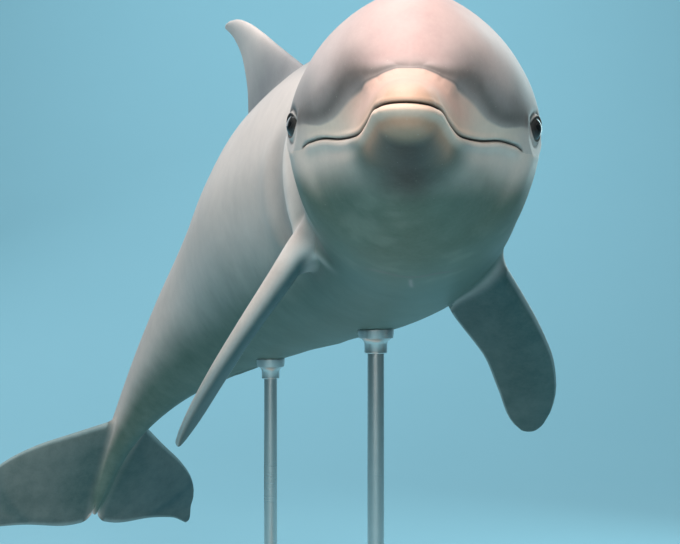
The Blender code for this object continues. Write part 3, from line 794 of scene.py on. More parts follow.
FILLET_RINGS, BLADE_RINGS = 9, 19
TIP_TURNS = np.radians([12, 24, 36, 48, 60, 70, 80, 88])
for blade, (rim, angle) in zip(blades, rims):
    root_span = blade.local(on_net[rim])[0][:, 0]
    first_span = root_span.mean() + 0.66 * (root_span - root_span.mean()) + blade.lift
    share = (1 - np.cos(angle)) / 2

    def blade_ring(span):
        return blade.place(span, *blade.section(span, angle))

    begin, end = skin_points[rim], blade.carried(blade_ring(first_span))
    reach = np.linalg.norm(end - begin, axis=1, keepdims=True)
    out = skin_out[rim]
    inward = end - begin
    inward -= out * np.sum(inward * out, 1, keepdims=True)
    inward *= reach / np.linalg.norm(inward, axis=1, keepdims=True)
    onward = blade.carried(blade_ring(first_span + 0.002)) - end
    onward *= reach / np.linalg.norm(onward, axis=1, keepdims=True)
    last = rim
    for t in np.arange(1, FILLET_RINGS) / FILLET_RINGS:
        ring = (
            (1 + 2 * t) * (1 - t) ** 2 * begin + t * (1 - t) ** 2 * inward
            + (3 - 2 * t) * t**2 * end - (1 - t) * t**2 * onward
        )
        ease = t * t * (3 - 2 * t)
        flat = straight[rim] * (1 - ease) + blade_ring(first_span) * ease
        tone = blade.tone(angle, 0)
        numbers = add_ring(ring, flat, ease, 0.5 + (share - 0.5) * ease, tone)
        join(last, numbers)
        last = numbers
    body_of_blade = np.linspace(0, 1 - blade.round / (blade.tip - first_span.max()), BLADE_RINGS)
    rounding = 1 - (1 - body_of_blade[-1]) * (1 - np.sin(TIP_TURNS))
    for t in [*body_of_blade, *rounding]:
        span = first_span + (blade.tip - first_span) * t
        flat = blade_ring(span)
        tone = blade.tone(angle, t)
        numbers = add_ring(blade.carried(flat), flat, 1.0, share, tone)
        join(last, numbers)
        last = numbers
    flat = blade_ring(np.full(len(rim), blade.tip)).mean(0, keepdims=True)
    middle = add_ring(blade.carried(flat), flat, 1.0, np.array([0.5]), tone)[0]
    for i in range(len(last)):
        faces.append([last[i - 1], last[i], middle])
net.free()

points, straights = np.concatenate(points), np.concatenate(straights)


def closed_mesh(name, points, faces):
    """A smooth mesh whose faces all look outwards."""
    made = bpy.data.meshes.new(name)
    made.from_pydata(np.asarray(points).tolist(), [], faces)
    turned = bmesh.new()
    turned.from_mesh(made)
    bmesh.ops.recalc_face_normals(turned, faces=turned.faces)
    turned.to_mesh(made)
    turned.free()
    made.shade_smooth()
    return made


def piece_of(made, slot, *nodes):
    """Makes a mesh a piece that rides with the model, in place of the nodes of the frame that are named."""
    piece = bpy.data.objects.new(made.name, made)
    bpy.context.scene.collection.objects.link(piece)
    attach(piece, "root")
    if nodes:
        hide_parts(*nodes)


def stored(made, name, values):
    """Keeps three numbers for every point of a mesh, for its material to read."""
    kept = made.attributes.new(name, "FLOAT_VECTOR", "POINT")
    kept.data.foreach_set("vector", np.ascontiguousarray(values, np.float32).ravel())


mesh = closed_mesh("dolphin_skin", points, faces)
piece_of(
    mesh, "upper_skin", "head", "lower_jaw", "chest", "trunk", "tail_stock", "dorsal_fin",
    "flipper_left", "flipper_right", "fluke_left", "fluke_right",
)
stored(mesh, "straight", straights)
body_top, body_bottom = height_above(straights[:, 1]), -depth_below(straights[:, 1])
share_up = (straights[:, 2] - body_bottom) / (body_top - body_bottom)
fin_share, chord_share, blade_tone_and_shade = (np.concatenate(block) for block in (fin_share, chord_share, blade_tone_and_shade))
on_flipper = fin_share * (np.abs(straights[:, 0]) > 0.05) * (straights[:, 1] < 1.0)
share_up += on_flipper * (0.62 - share_up)
on_body = len(on_net)
mouth_gap = above_mouth(straights)
mouth_gap += np.sign(mouth_gap) * 0.5 * np.maximum(straights[:, 1] - GAPE, 0)
over_crease = past_crease(straights)
ratio = np.full(len(straights), 9.0)
ratio[:on_body] = np.minimum(eye_ratio(on_net), 9.0)
for far in (mouth_gap, over_crease):
    far[on_body:] = 0.3
stored(mesh, "creases", np.stack([mouth_gap, over_crease, ratio], -1))
stored(mesh, "tones", np.stack([share_up, fin_share * blade_tone_and_shade, 2 * np.abs(chord_share - 0.5)], -1))

# ---------------------------------------------------------------- skin: the hide
# The hide is painted resin: a rosy melon, pale lips, grey flanks and slate fins; the dark green-grey
# underside is painted shade.
# Its material is written as plain arithmetic on the numbers stored above.


class Number:
    """A value in a material's node tree, with Python's operators turned into nodes."""

    def __init__(self, tree, socket):
        self.tree, self.socket = tree, socket

    def node(self, kind, settings=None, output=0, **values):
        """Adds any node: settings and sockets go by name, with _ for spaces; gives one of its outputs."""
        made = self.tree.nodes.new(kind)
        for name, value in (settings or {}).items():
            setattr(made, name, value)
        for name, value in values.items():
            self.feed(next(s for s in made.inputs if s.enabled and s.name == name.replace("_", " ")), value)
        return Number(self.tree, made.outputs[output])

    def feed(self, slot, value):
        if isinstance(value, Number):
            self.tree.links.new(value.socket, slot)
        elif isinstance(value, tuple) and slot.type == "RGBA":
            slot.default_value = (*value, 1.0)
        else:
            slot.default_value = value

    def maths(self, operation, *terms, clamp=False):
        made = self.tree.nodes.new("ShaderNodeMath")
        made.operation, made.use_clamp = operation, clamp
        for slot, term in zip(made.inputs, terms):
            self.feed(slot, term)
        return Number(self.tree, made.outputs[0])

    def __neg__(self):
        return self * -1.0

    def __abs__(self):
        return self.maths("ABSOLUTE", self)

    def between(self, low, high):
        """0 below low, 1 above high, eased between them; the other way round if low is over high."""
        if low > high:
            return 1 - self.between(high, low)
        t = self.maths("DIVIDE", self - low, high - low, clamp=True)
        return t * t * (3 - 2 * t)

    def bump(self, width):
        """1 where the value is zero, falling away over the width."""
        return self.maths("POWER", math.e, -1 * (self / width) * (self / width))

    def parts(self):
        split = self.tree.nodes.new("ShaderNodeSeparateXYZ")
        self.tree.links.new(self.socket, split.inputs[0])
        return [Number(self.tree, out) for out in split.outputs]

    def blend(self, one, other):
        """The first colour where this is 0, and the second where it is 1."""
        return self.node("ShaderNodeMix", {"data_type": "RGBA"}, 2, Factor=self, A=one, B=other)

    def noise(self, scale, detail=2.0, roughness=0.5, stretch=None):
        """Cloudy noise, about 0.5 on average, at this vector."""
        at = self if stretch is None else self.node("ShaderNodeMapping", Vector=self, Scale=stretch)
        return self.node("ShaderNodeTexNoise", Vector=at, Scale=scale, Detail=detail, Roughness=roughness)


for sign, operation in (
    ("add", "ADD"), ("sub", "SUBTRACT"), ("mul", "MULTIPLY"), ("truediv", "DIVIDE"), ("pow", "POWER"),
):
    setattr(Number, f"__{sign}__", lambda self, other, op=operation: self.maths(op, self, other))
    setattr(Number, f"__r{sign}__", lambda self, other, op=operation: self.maths(op, other, self))


def new_material(name):
    """An empty material: its principled shader's node, and a number to start the arithmetic from."""
    made = bpy.data.materials.new(name)
    made.use_nodes = True
    tree = made.node_tree
    return made, tree.nodes["Principled BSDF"], Number(tree, None)


def finish_look(shader, start, colour, roughness, height=None, depth=0.001, strength=1.0, **constants):
    """Feeds a principled shader: varying colour, roughness and bump, and constants by socket name."""
    start.feed(shader.inputs["Base Color"], colour)
    start.feed(shader.inputs["Roughness"], roughness)
    for name, value in constants.items():
        shader.inputs[name.replace("_", " ")].default_value = value
    if height is not None:
        bumped = start.node("ShaderNodeBump", Strength=strength, Distance=depth, Height=height)
        start.feed(shader.inputs["Normal"], bumped)


hide, hide_shader, start = new_material("dolphin_hide")
place = start.node("ShaderNodeAttribute", {"attribute_name": "straight"}, 1)
creases = start.node("ShaderNodeAttribute", {"attribute_name": "creases"}, 1)
tones = start.node("ShaderNodeAttribute", {"attribute_name": "tones"}, 1)
x, y, z = place.parts()
mouth, crease, lid = creases.parts()
height, fin, edge = tones.parts()
side = abs(x)

cloud = place.noise(7.0, 3.0, 0.55) - 0.5
mottle = place.noise(38.0, 4.0, 0.6) - 0.5
grain = place.noise(260.0, 3.0, 0.6) - 0.5
head = y.between(0.42, 0.24)
front = y.between(0.30, 0.10)
height = height + 0.10 * cloud

# painted light among these colours: the underside, throat, fold marks, lid fold, slit lines, fin rims, and
# part of the band and fin slate
UNDER_SHADE, FLANK = (0.075, 0.130, 0.105), (0.60, 0.52, 0.475)
BACK, CAPE = (0.58, 0.52, 0.49), (0.235, 0.235, 0.245)
THROAT_SHADE, CHIN_SHADE, CHEEK = (0.098, 0.136, 0.098), (0.050, 0.040, 0.032), (0.76, 0.62, 0.54)
MELON, MELON_PALE, MELON_LINE = (0.50, 0.41, 0.39), (0.57, 0.37, 0.345), (0.60, 0.42, 0.40)
BAND_AND_SHADE, SOCKET = (0.145, 0.118, 0.108), (0.22, 0.20, 0.19)
LIP, LIP_GLOW, LIP_SIDE = (0.68, 0.43, 0.35), (0.72, 0.45, 0.32), (0.74, 0.60, 0.50)
LOWER_LIP, PEACH = (0.98, 0.68, 0.53), (0.62, 0.32, 0.20)
LINE_AND_SLIT_SHADE, LID_FOLD_SHADE, LID_RIM = (0.012, 0.010, 0.009), (0.060, 0.054, 0.052), (0.52, 0.50, 0.48)
FIN_SLATE_AND_SHADE, FIN_RIM_HIGHLIGHT = (0.030, 0.082, 0.082), (0.26, 0.36, 0.37)
FOLD_HIGHLIGHT, FOLD_SHADE = (0.72, 0.66, 0.62), (0.24, 0.225, 0.215)
PATCH, SPECK = (0.20, 0.22, 0.165), (0.60, 0.60, 0.52)

# painted shade: the underside is dark green-grey below lighter flanks
colour = height.between(0.14, 0.50).blend(UNDER_SHADE, FLANK)
colour = height.between(0.74, 0.98).blend(colour, BACK)
cape = height.between(0.88, 1.02) * height.between(1.34, 1.06) * y.between(0.38, 0.56)
colour = (cape * 0.90).blend(colour, CAPE)
# on the right of the neck: painted shade in the valleys of the folds and a painted highlight on the ridge
fold = y - 0.524 + (z + 0.045).between(0.0, -0.075) * 0.062
right = x.between(-0.04, -0.09) * z.between(0.10, 0.05) * z.between(-0.125, -0.08)
colour = ((fold - 0.070).bump(0.034) * right * 0.55).blend(colour, FOLD_SHADE)
colour = ((fold + 0.046).bump(0.018) * right * 0.50).blend(colour, FOLD_SHADE)
colour = (fold.bump(0.016) * right * 0.85).blend(colour, FOLD_HIGHLIGHT)
colour = (head * z.between(-0.008, 0.030)).blend(colour, MELON)
socket = side.between(0.080, 0.100) * y.between(0.30, 0.255)
socket = socket * z.between(0.080, 0.030) * crease.between(-0.004, 0.003)
colour = (socket * 0.75).blend(colour, SOCKET)
# painted shade: the throat under the head is dark green-grey
colour = (head * z.between(0.000, -0.045) * height.between(0.54, 0.30)).blend(colour, THROAT_SHADE)
patches = (place.noise(19.0, 2.0, 0.5) - 0.52).between(0.02, 0.16) * z.between(-0.02, -0.06) * head
colour = (patches * 0.35).blend(colour, PATCH)
pale = (x + 0.004 + 0.004 * mottle).bump(0.046) * y.between(0.25, 0.11) * crease.between(-0.002, 0.020)
colour = pale.blend(colour, MELON_PALE)
smudge = (side / 0.012).bump(1.0) * ((crease - 0.048) / 0.012).bump(1.0) * y.between(0.20, 0.15)
colour = (smudge * 0.55).blend(colour, MELON)
pink = x.bump(0.0022) * crease.between(0.002, 0.008) * crease.between(0.030, 0.018)
colour = (pink * 0.30).blend(colour, MELON_LINE)

# the dark band over the crease, partly pigment and partly painted shade under the melon's edge, and the pale
# lips below it
wide = side.between(0.012, 0.062)
over = crease - 0.0038 - 0.0050 * wide + 0.003 * cloud
band_and_shade = (over / (0.0038 + 0.0052 * wide)).bump(1.0) * side.between(-0.014, 0.018) * y.between(0.300, 0.235)
colour = (band_and_shade * 0.92).blend(colour, BAND_AND_SHADE)
# a broader painted shade above the band, where the melon's underside faces down
overhang_shade = (crease - 0.0120 - 0.008 * wide).bump(0.0130) * wide * y.between(0.28, 0.22)
colour = (overhang_shade * 0.42).blend(colour, BAND_AND_SHADE)
lips = crease.between(0.0006, -0.0022) * mouth.between(-0.001, 0.001) * y.between(0.225, 0.165)
lip_colour = mouth.between(0.022, 0.002).blend(y.between(0.155, 0.085).blend(LIP_SIDE, LIP),
                                              y.between(0.140, 0.070).blend(LIP_SIDE, LIP_GLOW))
colour = lips.blend(colour, lip_colour)
# a thin painted shade line in the crease
crease_shade_line = (crease - 0.0004).bump(0.0012) * side.between(0.056, 0.030)
colour = (crease_shade_line * 0.75).blend(colour, BAND_AND_SHADE)
cheek = mouth.between(0.001, -0.001) * mouth.between(-0.056, -0.004)
cheek = cheek * y.between(0.085, 0.14) * y.between(0.29, 0.215)
colour = (cheek * 0.95).blend(colour, CHEEK)
chin = mouth.between(0.001, -0.001) * y.between(0.120, 0.075)
colour = (chin * mouth.between(-0.036, -0.012) * side.between(0.046, 0.030)).blend(colour, PEACH)
colour = (chin * mouth.between(-0.014, -0.0045)).blend(colour, LOWER_LIP)
shade = (side / 0.034).bump(1.0) * y.between(0.018, 0.040)
shade = shade * y.between(0.150, 0.095) * mouth.between(-0.0105, -0.0235)
colour = shade.blend(colour, CHIN_SHADE)

# fins are slate with painted shade on the side that faces the belly, and a thin pale rim that is a painted
# highlight
colour = fin.blend(colour, FIN_SLATE_AND_SHADE)
colour = (fin * edge.between(0.90, 0.995) * 0.75).blend(colour, FIN_RIM_HIGHLIGHT)

# uneven pigment: clouds, mottling and fine grain darken or lighten the hide a little
uneven = 0.5 + 0.9 * mottle + 0.35 * grain + 0.7 * cloud
darker = start.node("ShaderNodeMix", {"data_type": "RGBA", "blend_type": "MULTIPLY"}, 2, Factor=1.0, A=colour,
                    B=(0.86, 0.86, 0.87))
lighter = start.node("ShaderNodeMix", {"data_type": "RGBA", "blend_type": "SCREEN"}, 2, Factor=0.06, A=colour,
                     B=(0.9, 0.88, 0.86))
colour = uneven.between(0.0, 1.0).blend(darker, lighter)
specks = place.noise(520.0, 1.0, 0.5).between(0.74, 0.80) * head * mouth.between(-0.09, -0.01)
colour = (specks * 0.35).blend(colour, SPECK)

# lines: mouth, lids, blowhole, darkened partly as painted shade in their slits; painted shade in the fold
# behind the lids
hole = (y - BLOWHOLE_Y + BLOWHOLE_BEND * x * x).bump(0.0022)
hole = hole * side.between(BLOWHOLE_HALF * 1.05, BLOWHOLE_HALF * 0.8)
colour = (hole * z.between(0.04, 0.06)).blend(colour, LINE_AND_SLIT_SHADE)
colour = ((lid - 1.30).bump(0.13) * 0.65).blend(colour, LID_RIM)
colour = ((lid - 1.62).bump(0.10) * 0.70).blend(colour, LID_FOLD_SHADE)
colour = (lid.between(1.16, 1.06) * 0.9).blend(colour, LINE_AND_SLIT_SHADE)
colour = (mouth.bump(0.0012) * y.between(GAPE + 0.006, GAPE - 0.004)).blend(colour, LINE_AND_SLIT_SHADE)

relief = 0.5 * mottle + 0.4 * grain
finish_look(
    hide_shader, start, colour, 0.52 + 0.12 * mottle + 0.05 * grain, relief, depth=0.0010, strength=0.24,
    Specular_IOR_Level=0.22, Coat_Weight=0.03, Coat_Roughness=0.25,
)
mesh.materials.append(hide)

# ---------------------------------------------------------------- eyes
# Each eye is a moulded ball of dark glass resin, set behind the lids, with a clear bulge over iris and pupil.
# Charcoal, with a wide pupil; the white of the eye is grey and hardly shows.
CORNEA, CORNEA_HEIGHT, EYE_TURNS, EYE_RINGS = math.radians(38), 0.0010, 72, 44

eye_look, eye_shader, start = new_material("dolphin_eye")
on_eye = start.node("ShaderNodeAttribute", {"attribute_name": "look"}, 1)
across, up, _ = on_eye.parts()
rings = (across * across + up * up) ** 0.5
streaks = on_eye.noise(9.0, 3.0, 0.6, (1.0, 1.0, 0.2)) - 0.5
colour = (rings + 0.03 * streaks).between(0.50, 0.62).blend((0.036, 0.035, 0.034), (0.060, 0.058, 0.056))
colour = (rings + 0.10 * streaks).between(0.34, 0.52).blend((0.018, 0.018, 0.018), colour)
pupil = ((across / 0.30) * (across / 0.30) + (up / 0.17) * (up / 0.17)).between(1.15, 0.90)
colour = pupil.blend(colour, (0.003, 0.003, 0.004))
finish_look(
    eye_shader, start, colour, 0.24 + 0.10 * streaks,
    Specular_IOR_Level=0.25, Coat_Weight=0.35, Coat_Roughness=0.06,
)

for label, sign in (("left", 1), ("right", -1)):
    flip = np.array([sign, 1, 1])
    axes = [posed_way(eye_spot[None] * flip, (way * flip)[None])[0] for way in (eye_back, eye_up, gaze)]
    c, s = math.cos(EYE_TILT), math.sin(EYE_TILT)
    axes = [axes[0] * c + axes[1] * s, axes[1] * c - axes[0] * s, axes[2]]
    tilt, turn = np.meshgrid(
        np.linspace(0, math.pi, EYE_RINGS + 2)[1:-1], np.linspace(0, 2 * math.pi, EYE_TURNS, endpoint=False),
        indexing="ij",
    )
    tilt, turn = np.append(tilt.ravel(), [0, math.pi]), np.append(turn.ravel(), [0, 0])
    bulge = CORNEA_HEIGHT * (1 - smooth(tilt, 0.35 * CORNEA, 1.15 * CORNEA))
    look = np.stack([np.sin(tilt) * np.cos(turn), np.sin(tilt) * np.sin(turn), np.cos(tilt)], -1)
    ball = middle_of(f"eye_{label}") + (look * (EYE_RADIUS - 0.0003 + bulge)[:, None]) @ np.array(axes)
    quads = [
        [i * EYE_TURNS + j, i * EYE_TURNS + (j + 1) % EYE_TURNS, (i + 1) * EYE_TURNS + (j + 1) % EYE_TURNS,
         (i + 1) * EYE_TURNS + j]
        for i in range(EYE_RINGS - 1) for j in range(EYE_TURNS)
    ]
    top, bottom, last = EYE_RINGS * EYE_TURNS, EYE_RINGS * EYE_TURNS + 1, (EYE_RINGS - 1) * EYE_TURNS
    quads += [[top, (j + 1) % EYE_TURNS, j] for j in range(EYE_TURNS)]
    quads += [[bottom, last + j, last + (j + 1) % EYE_TURNS] for j in range(EYE_TURNS)]
    eye_mesh = closed_mesh(f"dolphin_eye_{label}", ball, quads)
    stored(eye_mesh, "look", look)
    eye_mesh.materials.append(eye_look)
    piece_of(eye_mesh, "eye_glass", f"eye_{label}")

# ---------------------------------------------------------------- stand: board
# A plain display board of oak under pale matt paint: a long rounded slab with a routed edge and a shadow gap.
# It is not part of the animal: the model stands on it.
BOARD_HALF_LONG, BOARD_HALF_WIDE, BOARD_CORNER, CORNER_STEPS = 0.50, 0.23, 0.12, 22
SHARP = math.radians(32)  # edges sharper than this stay edges
BOARD_PROFILE = (
    (0.010, 0.0), (0.0065, 0.0006), (0.0060, 0.0040), (0.0005, 0.0044), (0.0, 0.0056), (0.0, 0.0285),
    (0.0007, 0.0304), (0.0022, 0.0318), (0.0042, 0.0324), (0.0060, 0.0325), (0.0062, 0.0342),
    (0.0070, 0.0364), (0.0086, 0.0382), (0.0108, 0.0394), (0.0132, 0.0399), (0.0160, 0.0400), (0.05, 0.0400),
)


def solid_of(name, rings, look, slot, node):
    """A closed solid through rings of points, with its sharp edges kept, in place of a node of the frame."""
    made = closed_mesh(name, *skinned(rings))
    made.set_sharp_from_angle(angle=SHARP)
    made.materials.append(look)
    piece_of(made, slot, node)


def skinned(rings):
    """Points and faces of a closed solid through rings of equal length, its two ends closed with fans."""
    count, size = len(rings), len(rings[0])
    ends = np.stack([rings[0].mean(0), rings[-1].mean(0)])
    faces = [
        [i * size + j, i * size + (j + 1) % size, (i + 1) * size + (j + 1) % size, (i + 1) * size + j]
        for i in range(count - 1) for j in range(size)
    ]
    last = (count - 1) * size
    faces += [[count * size, (j + 1) % size, j] for j in range(size)]
    faces += [[count * size + 1, last + j, last + (j + 1) % size] for j in range(size)]
    return np.concatenate([*rings, ends]), faces


rod_spots = {label: middle_of(f"stand_rod_{label}") for label in ("front", "rear")}
board_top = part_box("stand_base")[1][2]
board_middle = middle_of("stand_base")
lengthwise = rod_spots["rear"] - rod_spots["front"]
lengthwise = unit([lengthwise[0], lengthwise[1], 0])
crosswise = np.array([-lengthwise[1], lengthwise[0], 0])
quarter = np.linspace(0, math.pi / 2, CORNER_STEPS)
board_rings = []
for inset, height_up in BOARD_PROFILE:
    radius = BOARD_CORNER - inset
    outline = [
        (sx * (BOARD_HALF_LONG - BOARD_CORNER) + radius * math.cos(k * math.pi / 2 + a),
         sy * (BOARD_HALF_WIDE - BOARD_CORNER) + radius * math.sin(k * math.pi / 2 + a))
        for k, (sx, sy) in enumerate(((1, 1), (-1, 1), (-1, -1), (1, -1))) for a in quarter
    ]
    flat = np.array(outline)
    ring = board_middle + flat[:, :1] * lengthwise + flat[:, 1:] * crosswise
    ring[:, 2] = height_up
    board_rings.append(ring)

oak, oak_shader, start = new_material("painted_oak")
along = start.node("ShaderNodeTexCoord", output=3)
turned = start.node(
    "ShaderNodeMapping", Vector=along, Rotation=(0.0, 0.0, -math.atan2(lengthwise[1], lengthwise[0])),
    Location=(0.37, 1.91, 0.0),
)
warp = turned.noise(2.2, 2.0, 0.5, (0.35, 1.6, 1.0)) - 0.5
wide, deep, tall = turned.parts()
rings = (start.maths("SINE", (deep + 0.16 * warp) * 96.0) + 1) * 0.5
pores = turned.noise(150.0, 3.0, 0.65, (0.05, 1.0, 1.0)) - 0.5
fleck = turned.noise(24.0, 2.0, 0.5, (0.12, 1.0, 1.0)) - 0.5
colour = (rings * 0.55 + 0.45 + 0.5 * fleck).blend((0.60, 0.59, 0.56), (0.68, 0.67, 0.64))
colour = (pores.between(0.04, 0.17) * 0.5).blend(colour, (0.46, 0.44, 0.41))
finish_look(
    oak_shader, start, colour, 0.62 + 0.22 * pores, rings * 0.2 - 1.2 * pores, depth=0.0008, strength=0.35,
    Specular_IOR_Level=0.35,
)
solid_of("stand_board", board_rings, oak, "stand_board", "stand_base")

# ---------------------------------------------------------------- stand: rods
# Two posts of brushed stainless bar, each screwed down through a turned foot.
# A turned saddle plate at the top of each post takes the weight of the belly.
BAR, FOOT_RADIUS, SADDLE_RADIUS = 0.011, 0.036, 0.024
SCREWS, SCREW_CIRCLE, SCREW_RADIUS = 4, 0.0270, 0.0042
SADDLE_RINGS = (  # radius, and height over the belly's skin: the rim, then the top that is let into it
    (SADDLE_RADIUS, -0.0040), (SADDLE_RADIUS, -0.0012), (SADDLE_RADIUS - 0.0012, 0.0006),
    (0.014, 0.0006), (0.005, 0.0006),
)

steel, steel_shader, start = new_material("brushed_steel")
turned = start.node("ShaderNodeTexCoord", output=3)
brushed = turned.noise(420.0, 2.0, 0.6, (0.06, 0.06, 1.6)) - 0.5
smudge = turned.noise(9.0, 3.0, 0.55) - 0.5
colour = (0.5 + 0.8 * smudge).blend((0.50, 0.50, 0.49), (0.60, 0.60, 0.59))
finish_look(
    steel_shader, start, colour, 0.30 + 0.12 * brushed + 0.08 * smudge, brushed, depth=0.0003, strength=0.25,
    Metallic=1.0,
)

belly = BVHTree.FromPolygons([p[:] for p in points.tolist()], faces)


def belly_over(x, y):
    """Height of the lowest skin over a spot of the floor."""
    found = belly.ray_cast(Vector((x, y, 0.1)), Vector((0, 0, 1)))
    return found[0].z


turn_round = np.linspace(0, 2 * math.pi, 64, endpoint=False)
unit_ring = np.stack([np.cos(turn_round), np.sin(turn_round), 0 * turn_round], -1)
for label, spot in rod_spots.items():
    middle = np.array([spot[0], spot[1], 0])
    foot = board_top + 0.0002
    seat = min(belly_over(spot[0] + SADDLE_RADIUS * a, spot[1] + SADDLE_RADIUS * b)
               for a, b in [(0, 0), *unit_ring[::4, :2].tolist()])
    profile = [
        (0.0, FOOT_RADIUS - 0.0012), (0.0012, FOOT_RADIUS), (0.0042, FOOT_RADIUS),
        (0.0058, FOOT_RADIUS - 0.0016), (0.0060, 0.0195), (0.0068, 0.0176), (0.0100, 0.0162),
        (0.0250, 0.0158), (0.0264, 0.0146), (0.0268, BAR),
    ]
    collar = seat - foot
    profile += [(h, BAR) for h in np.linspace(0.030, collar - 0.030, 14)]
    profile += [
        (collar - 0.0260, BAR), (collar - 0.0256, 0.0142), (collar - 0.0244, 0.0150),
        (collar - 0.0130, 0.0150), (collar - 0.0100, 0.0160), (collar - 0.0070, 0.0190),
        (collar - 0.0052, SADDLE_RADIUS - 0.0010),
    ]
    rings = [middle + unit_ring * radius + [0, 0, foot + up] for up, radius in profile]
    for radius, over_belly in SADDLE_RINGS:
        ring = middle + unit_ring * radius
        ring[:, 2] = [belly_over(px, py) + over_belly for px, py, _ in ring]
        rings.append(ring)
    solid_of(f"stand_post_{label}", rings, steel, "stand_steel", f"stand_rod_{label}")

# the screws of a foot are set round it by a node group with their count, circle and size as inputs
group = bpy.data.node_groups.new("screw_circle", "GeometryNodeTree")
group.interface.new_socket("Geometry", in_out="OUTPUT", socket_type="NodeSocketGeometry")
for name, kind in (("Count", "NodeSocketInt"), ("Circle", "NodeSocketFloat"), ("Radius", "NodeSocketFloat"),
                   ("Foot", "NodeSocketVector"), ("Steel", "NodeSocketMaterial")):
    group.interface.new_socket(name, in_out="INPUT", socket_type=kind)


def step(kind, settings=None, *terms, **values):
    """Adds a node to the group: settings by name, sockets in order or by name with _ for spaces."""
    made = group.nodes.new(kind)
    for name, value in (settings or {}).items():
        setattr(made, name, value)
    slots = list(zip(made.inputs, terms))
    for name, value in values.items():
        slots.append((next(s for s in made.inputs if s.enabled and s.name == name.replace("_", " ")), value))
    for slot, value in slots:
        if isinstance(value, bpy.types.NodeSocket):
            group.links.new(value, slot)
        else:
            slot.default_value = value
    return made.outputs[0]


asked, given = group.nodes.new("NodeGroupInput").outputs, group.nodes.new("NodeGroupOutput").inputs
unfilled = {"fill_type": "NONE"}
circle = step("GeometryNodeMeshCircle", unfilled, Vertices=asked["Count"], Radius=asked["Circle"])
placed = step("GeometryNodeTransform", Geometry=circle, Translation=asked["Foot"])
head_height = step("ShaderNodeMath", {"operation": "MULTIPLY"}, asked["Radius"], 0.75)
head_shape = step("GeometryNodeMeshCylinder", Vertices=24, Radius=asked["Radius"], Depth=head_height)
socket_size = step("ShaderNodeMath", {"operation": "MULTIPLY"}, asked["Radius"], 0.5)
hexagon = step("GeometryNodeMeshCylinder", Vertices=6, Radius=socket_size, Depth=head_height)
lift = step("ShaderNodeCombineXYZ", Z=head_height)
half_up = step("ShaderNodeVectorMath", {"operation": "SCALE"}, lift, Scale=0.5)
lifted = step("GeometryNodeTransform", Geometry=hexagon, Translation=half_up)
cut = {"operation": "DIFFERENCE", "solver": "EXACT"}
bored = step("GeometryNodeMeshBoolean", cut, Mesh_1=head_shape, Mesh_2=lifted)
heads = step("GeometryNodeInstanceOnPoints", Points=placed, Instance=bored)
real = step("GeometryNodeRealizeInstances", Geometry=heads)
group.links.new(step("GeometryNodeSetMaterial", Geometry=real, Material=asked["Steel"]), given[0])

for label, spot in rod_spots.items():
    source = bpy.data.objects.new(f"screws_{label}", bpy.data.meshes.new(f"screws_{label}"))
    bpy.context.scene.collection.objects.link(source)
    ring = source.modifiers.new("screws", "NODES")
    ring.node_group = group
    wanted = {
        "Count": SCREWS, "Circle": SCREW_CIRCLE, "Radius": SCREW_RADIUS,
        "Foot": (spot[0], spot[1], board_top + 0.0058 + 0.375 * SCREW_RADIUS), "Steel": steel,
    }
    for item in group.interface.items_tree:
        if item.in_out == "INPUT":
            ring[item.identifier] = wanted[item.name]
    made = bpy.data.meshes.new_from_object(source.evaluated_get(bpy.context.evaluated_depsgraph_get()))
    made.name = f"stand_screws_{label}"
    bpy.data.objects.remove(source)
    piece_of(made, "stand_steel")

# ---------------------------------------------------------------- stage
# A plain pale floor that rises into a far pale wall, a camera in front of the head, and soft studio light.
LENS_MM, SENSOR_MM = 64.62, 36
CAMERA_AT = (0.2179, -1.8636, 0.70)
camera = bpy.data.objects.new("camera", bpy.data.cameras.new("camera"))
camera.data.lens = LENS_MM
camera.data.sensor_width = SENSOR_MM
camera.location = CAMERA_AT
camera.rotation_euler = (math.radians(90), 0, 0)
bpy.context.scene.collection.objects.link(camera)
bpy.context.scene.camera = camera
bpy.context.scene.view_settings.view_transform = "Standard"

world = bpy.data.worlds.new("studio")
bpy.context.scene.world = world
world.use_nodes = True
world.node_tree.nodes["Background"].inputs["Color"].default_value = (0.42, 0.66, 0.70, 1)
world.node_tree.nodes["Background"].inputs["Strength"].default_value = 0.14

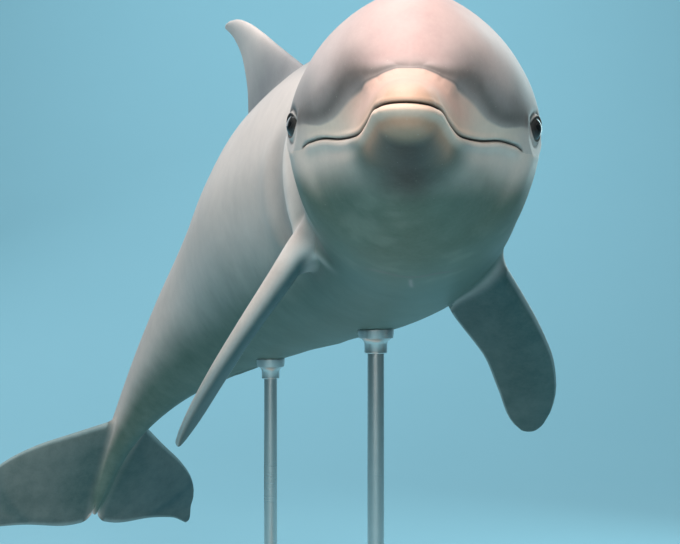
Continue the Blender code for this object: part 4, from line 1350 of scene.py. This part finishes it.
FLOOR_FRONT, WALL_AT, COVE, WALL_TOP, STAGE_HALF = -12.0, 6.4, 4.4, 6.0, 12.0
sweep = [(FLOOR_FRONT, 0.0), (WALL_AT - COVE, 0.0)]
sweep += [
    (WALL_AT - COVE + COVE * math.sin(a), COVE - COVE * math.cos(a))
    for a in np.linspace(0.06, math.pi / 2, 26)
]
sweep += [(WALL_AT, WALL_TOP)]
cove_points = [(sx * STAGE_HALF, py, pz) for py, pz in sweep for sx in (-1, 1)]
cove_mesh = bpy.data.meshes.new("stage_cove")
cove_faces = [(i, i + 1, i + 3, i + 2) for i in range(0, 2 * len(sweep) - 2, 2)]
cove_mesh.from_pydata(cove_points, [], cove_faces)
cove_mesh.shade_smooth()
backdrop, backdrop_shader, start = new_material("pale_backdrop")
weave = start.node("ShaderNodeTexCoord", output=3).noise(3.0, 2.0, 0.5) - 0.5
finish_look(
    backdrop_shader, start, (0.5 + 0.3 * weave).blend((0.27, 0.54, 0.65), (0.30, 0.57, 0.68)),
    0.9 + 0.05 * weave, Specular_IOR_Level=0.1,
)
cove_mesh.materials.append(backdrop)
cove = bpy.data.objects.new("stage_cove", cove_mesh)
bpy.context.scene.collection.objects.link(cove)


def area_light(name, place, aim, size, power, colour):
    light = bpy.data.lights.new(name, "AREA")
    light.shape = "RECTANGLE"
    light.size, light.size_y = size
    light.energy, light.color = power, colour
    lamp = bpy.data.objects.new(name, light)
    lamp.location = place
    lamp.rotation_euler = (Vector(aim) - Vector(place)).to_track_quat("-Z", "Y").to_euler()
    bpy.context.scene.collection.objects.link(lamp)


area_light("key", (0.00, -1.55, 2.60), (0.22, -0.72, 0.84), (1.7, 1.3), 58, (1.0, 0.93, 0.88))
area_light("front", (-0.1, -3.4, 1.7), (0.25, -0.9, 0.80), (2.6, 1.4), 46, (1.0, 0.95, 0.90))
area_light("overhead", (-0.2, -0.35, 2.7), (0.10, -0.25, 0.8), (1.6, 2.2), 26, (0.97, 0.98, 1.0))
area_light("rim", (1.35, 0.95, 1.45), (0.30, -0.60, 0.80), (0.5, 1.5), 14, (0.70, 0.96, 1.0))
area_light("wash_on_wall", (0.2, 2.6, 4.9), (0.2, 6.2, 1.6), (5.0, 1.0), 165, (0.88, 0.97, 1.0))
area_light("back", (-2.6, 3.0, 2.4), (0.0, 0.0, 0.7), (2.0, 2.0), 26, (0.95, 0.98, 1.0))
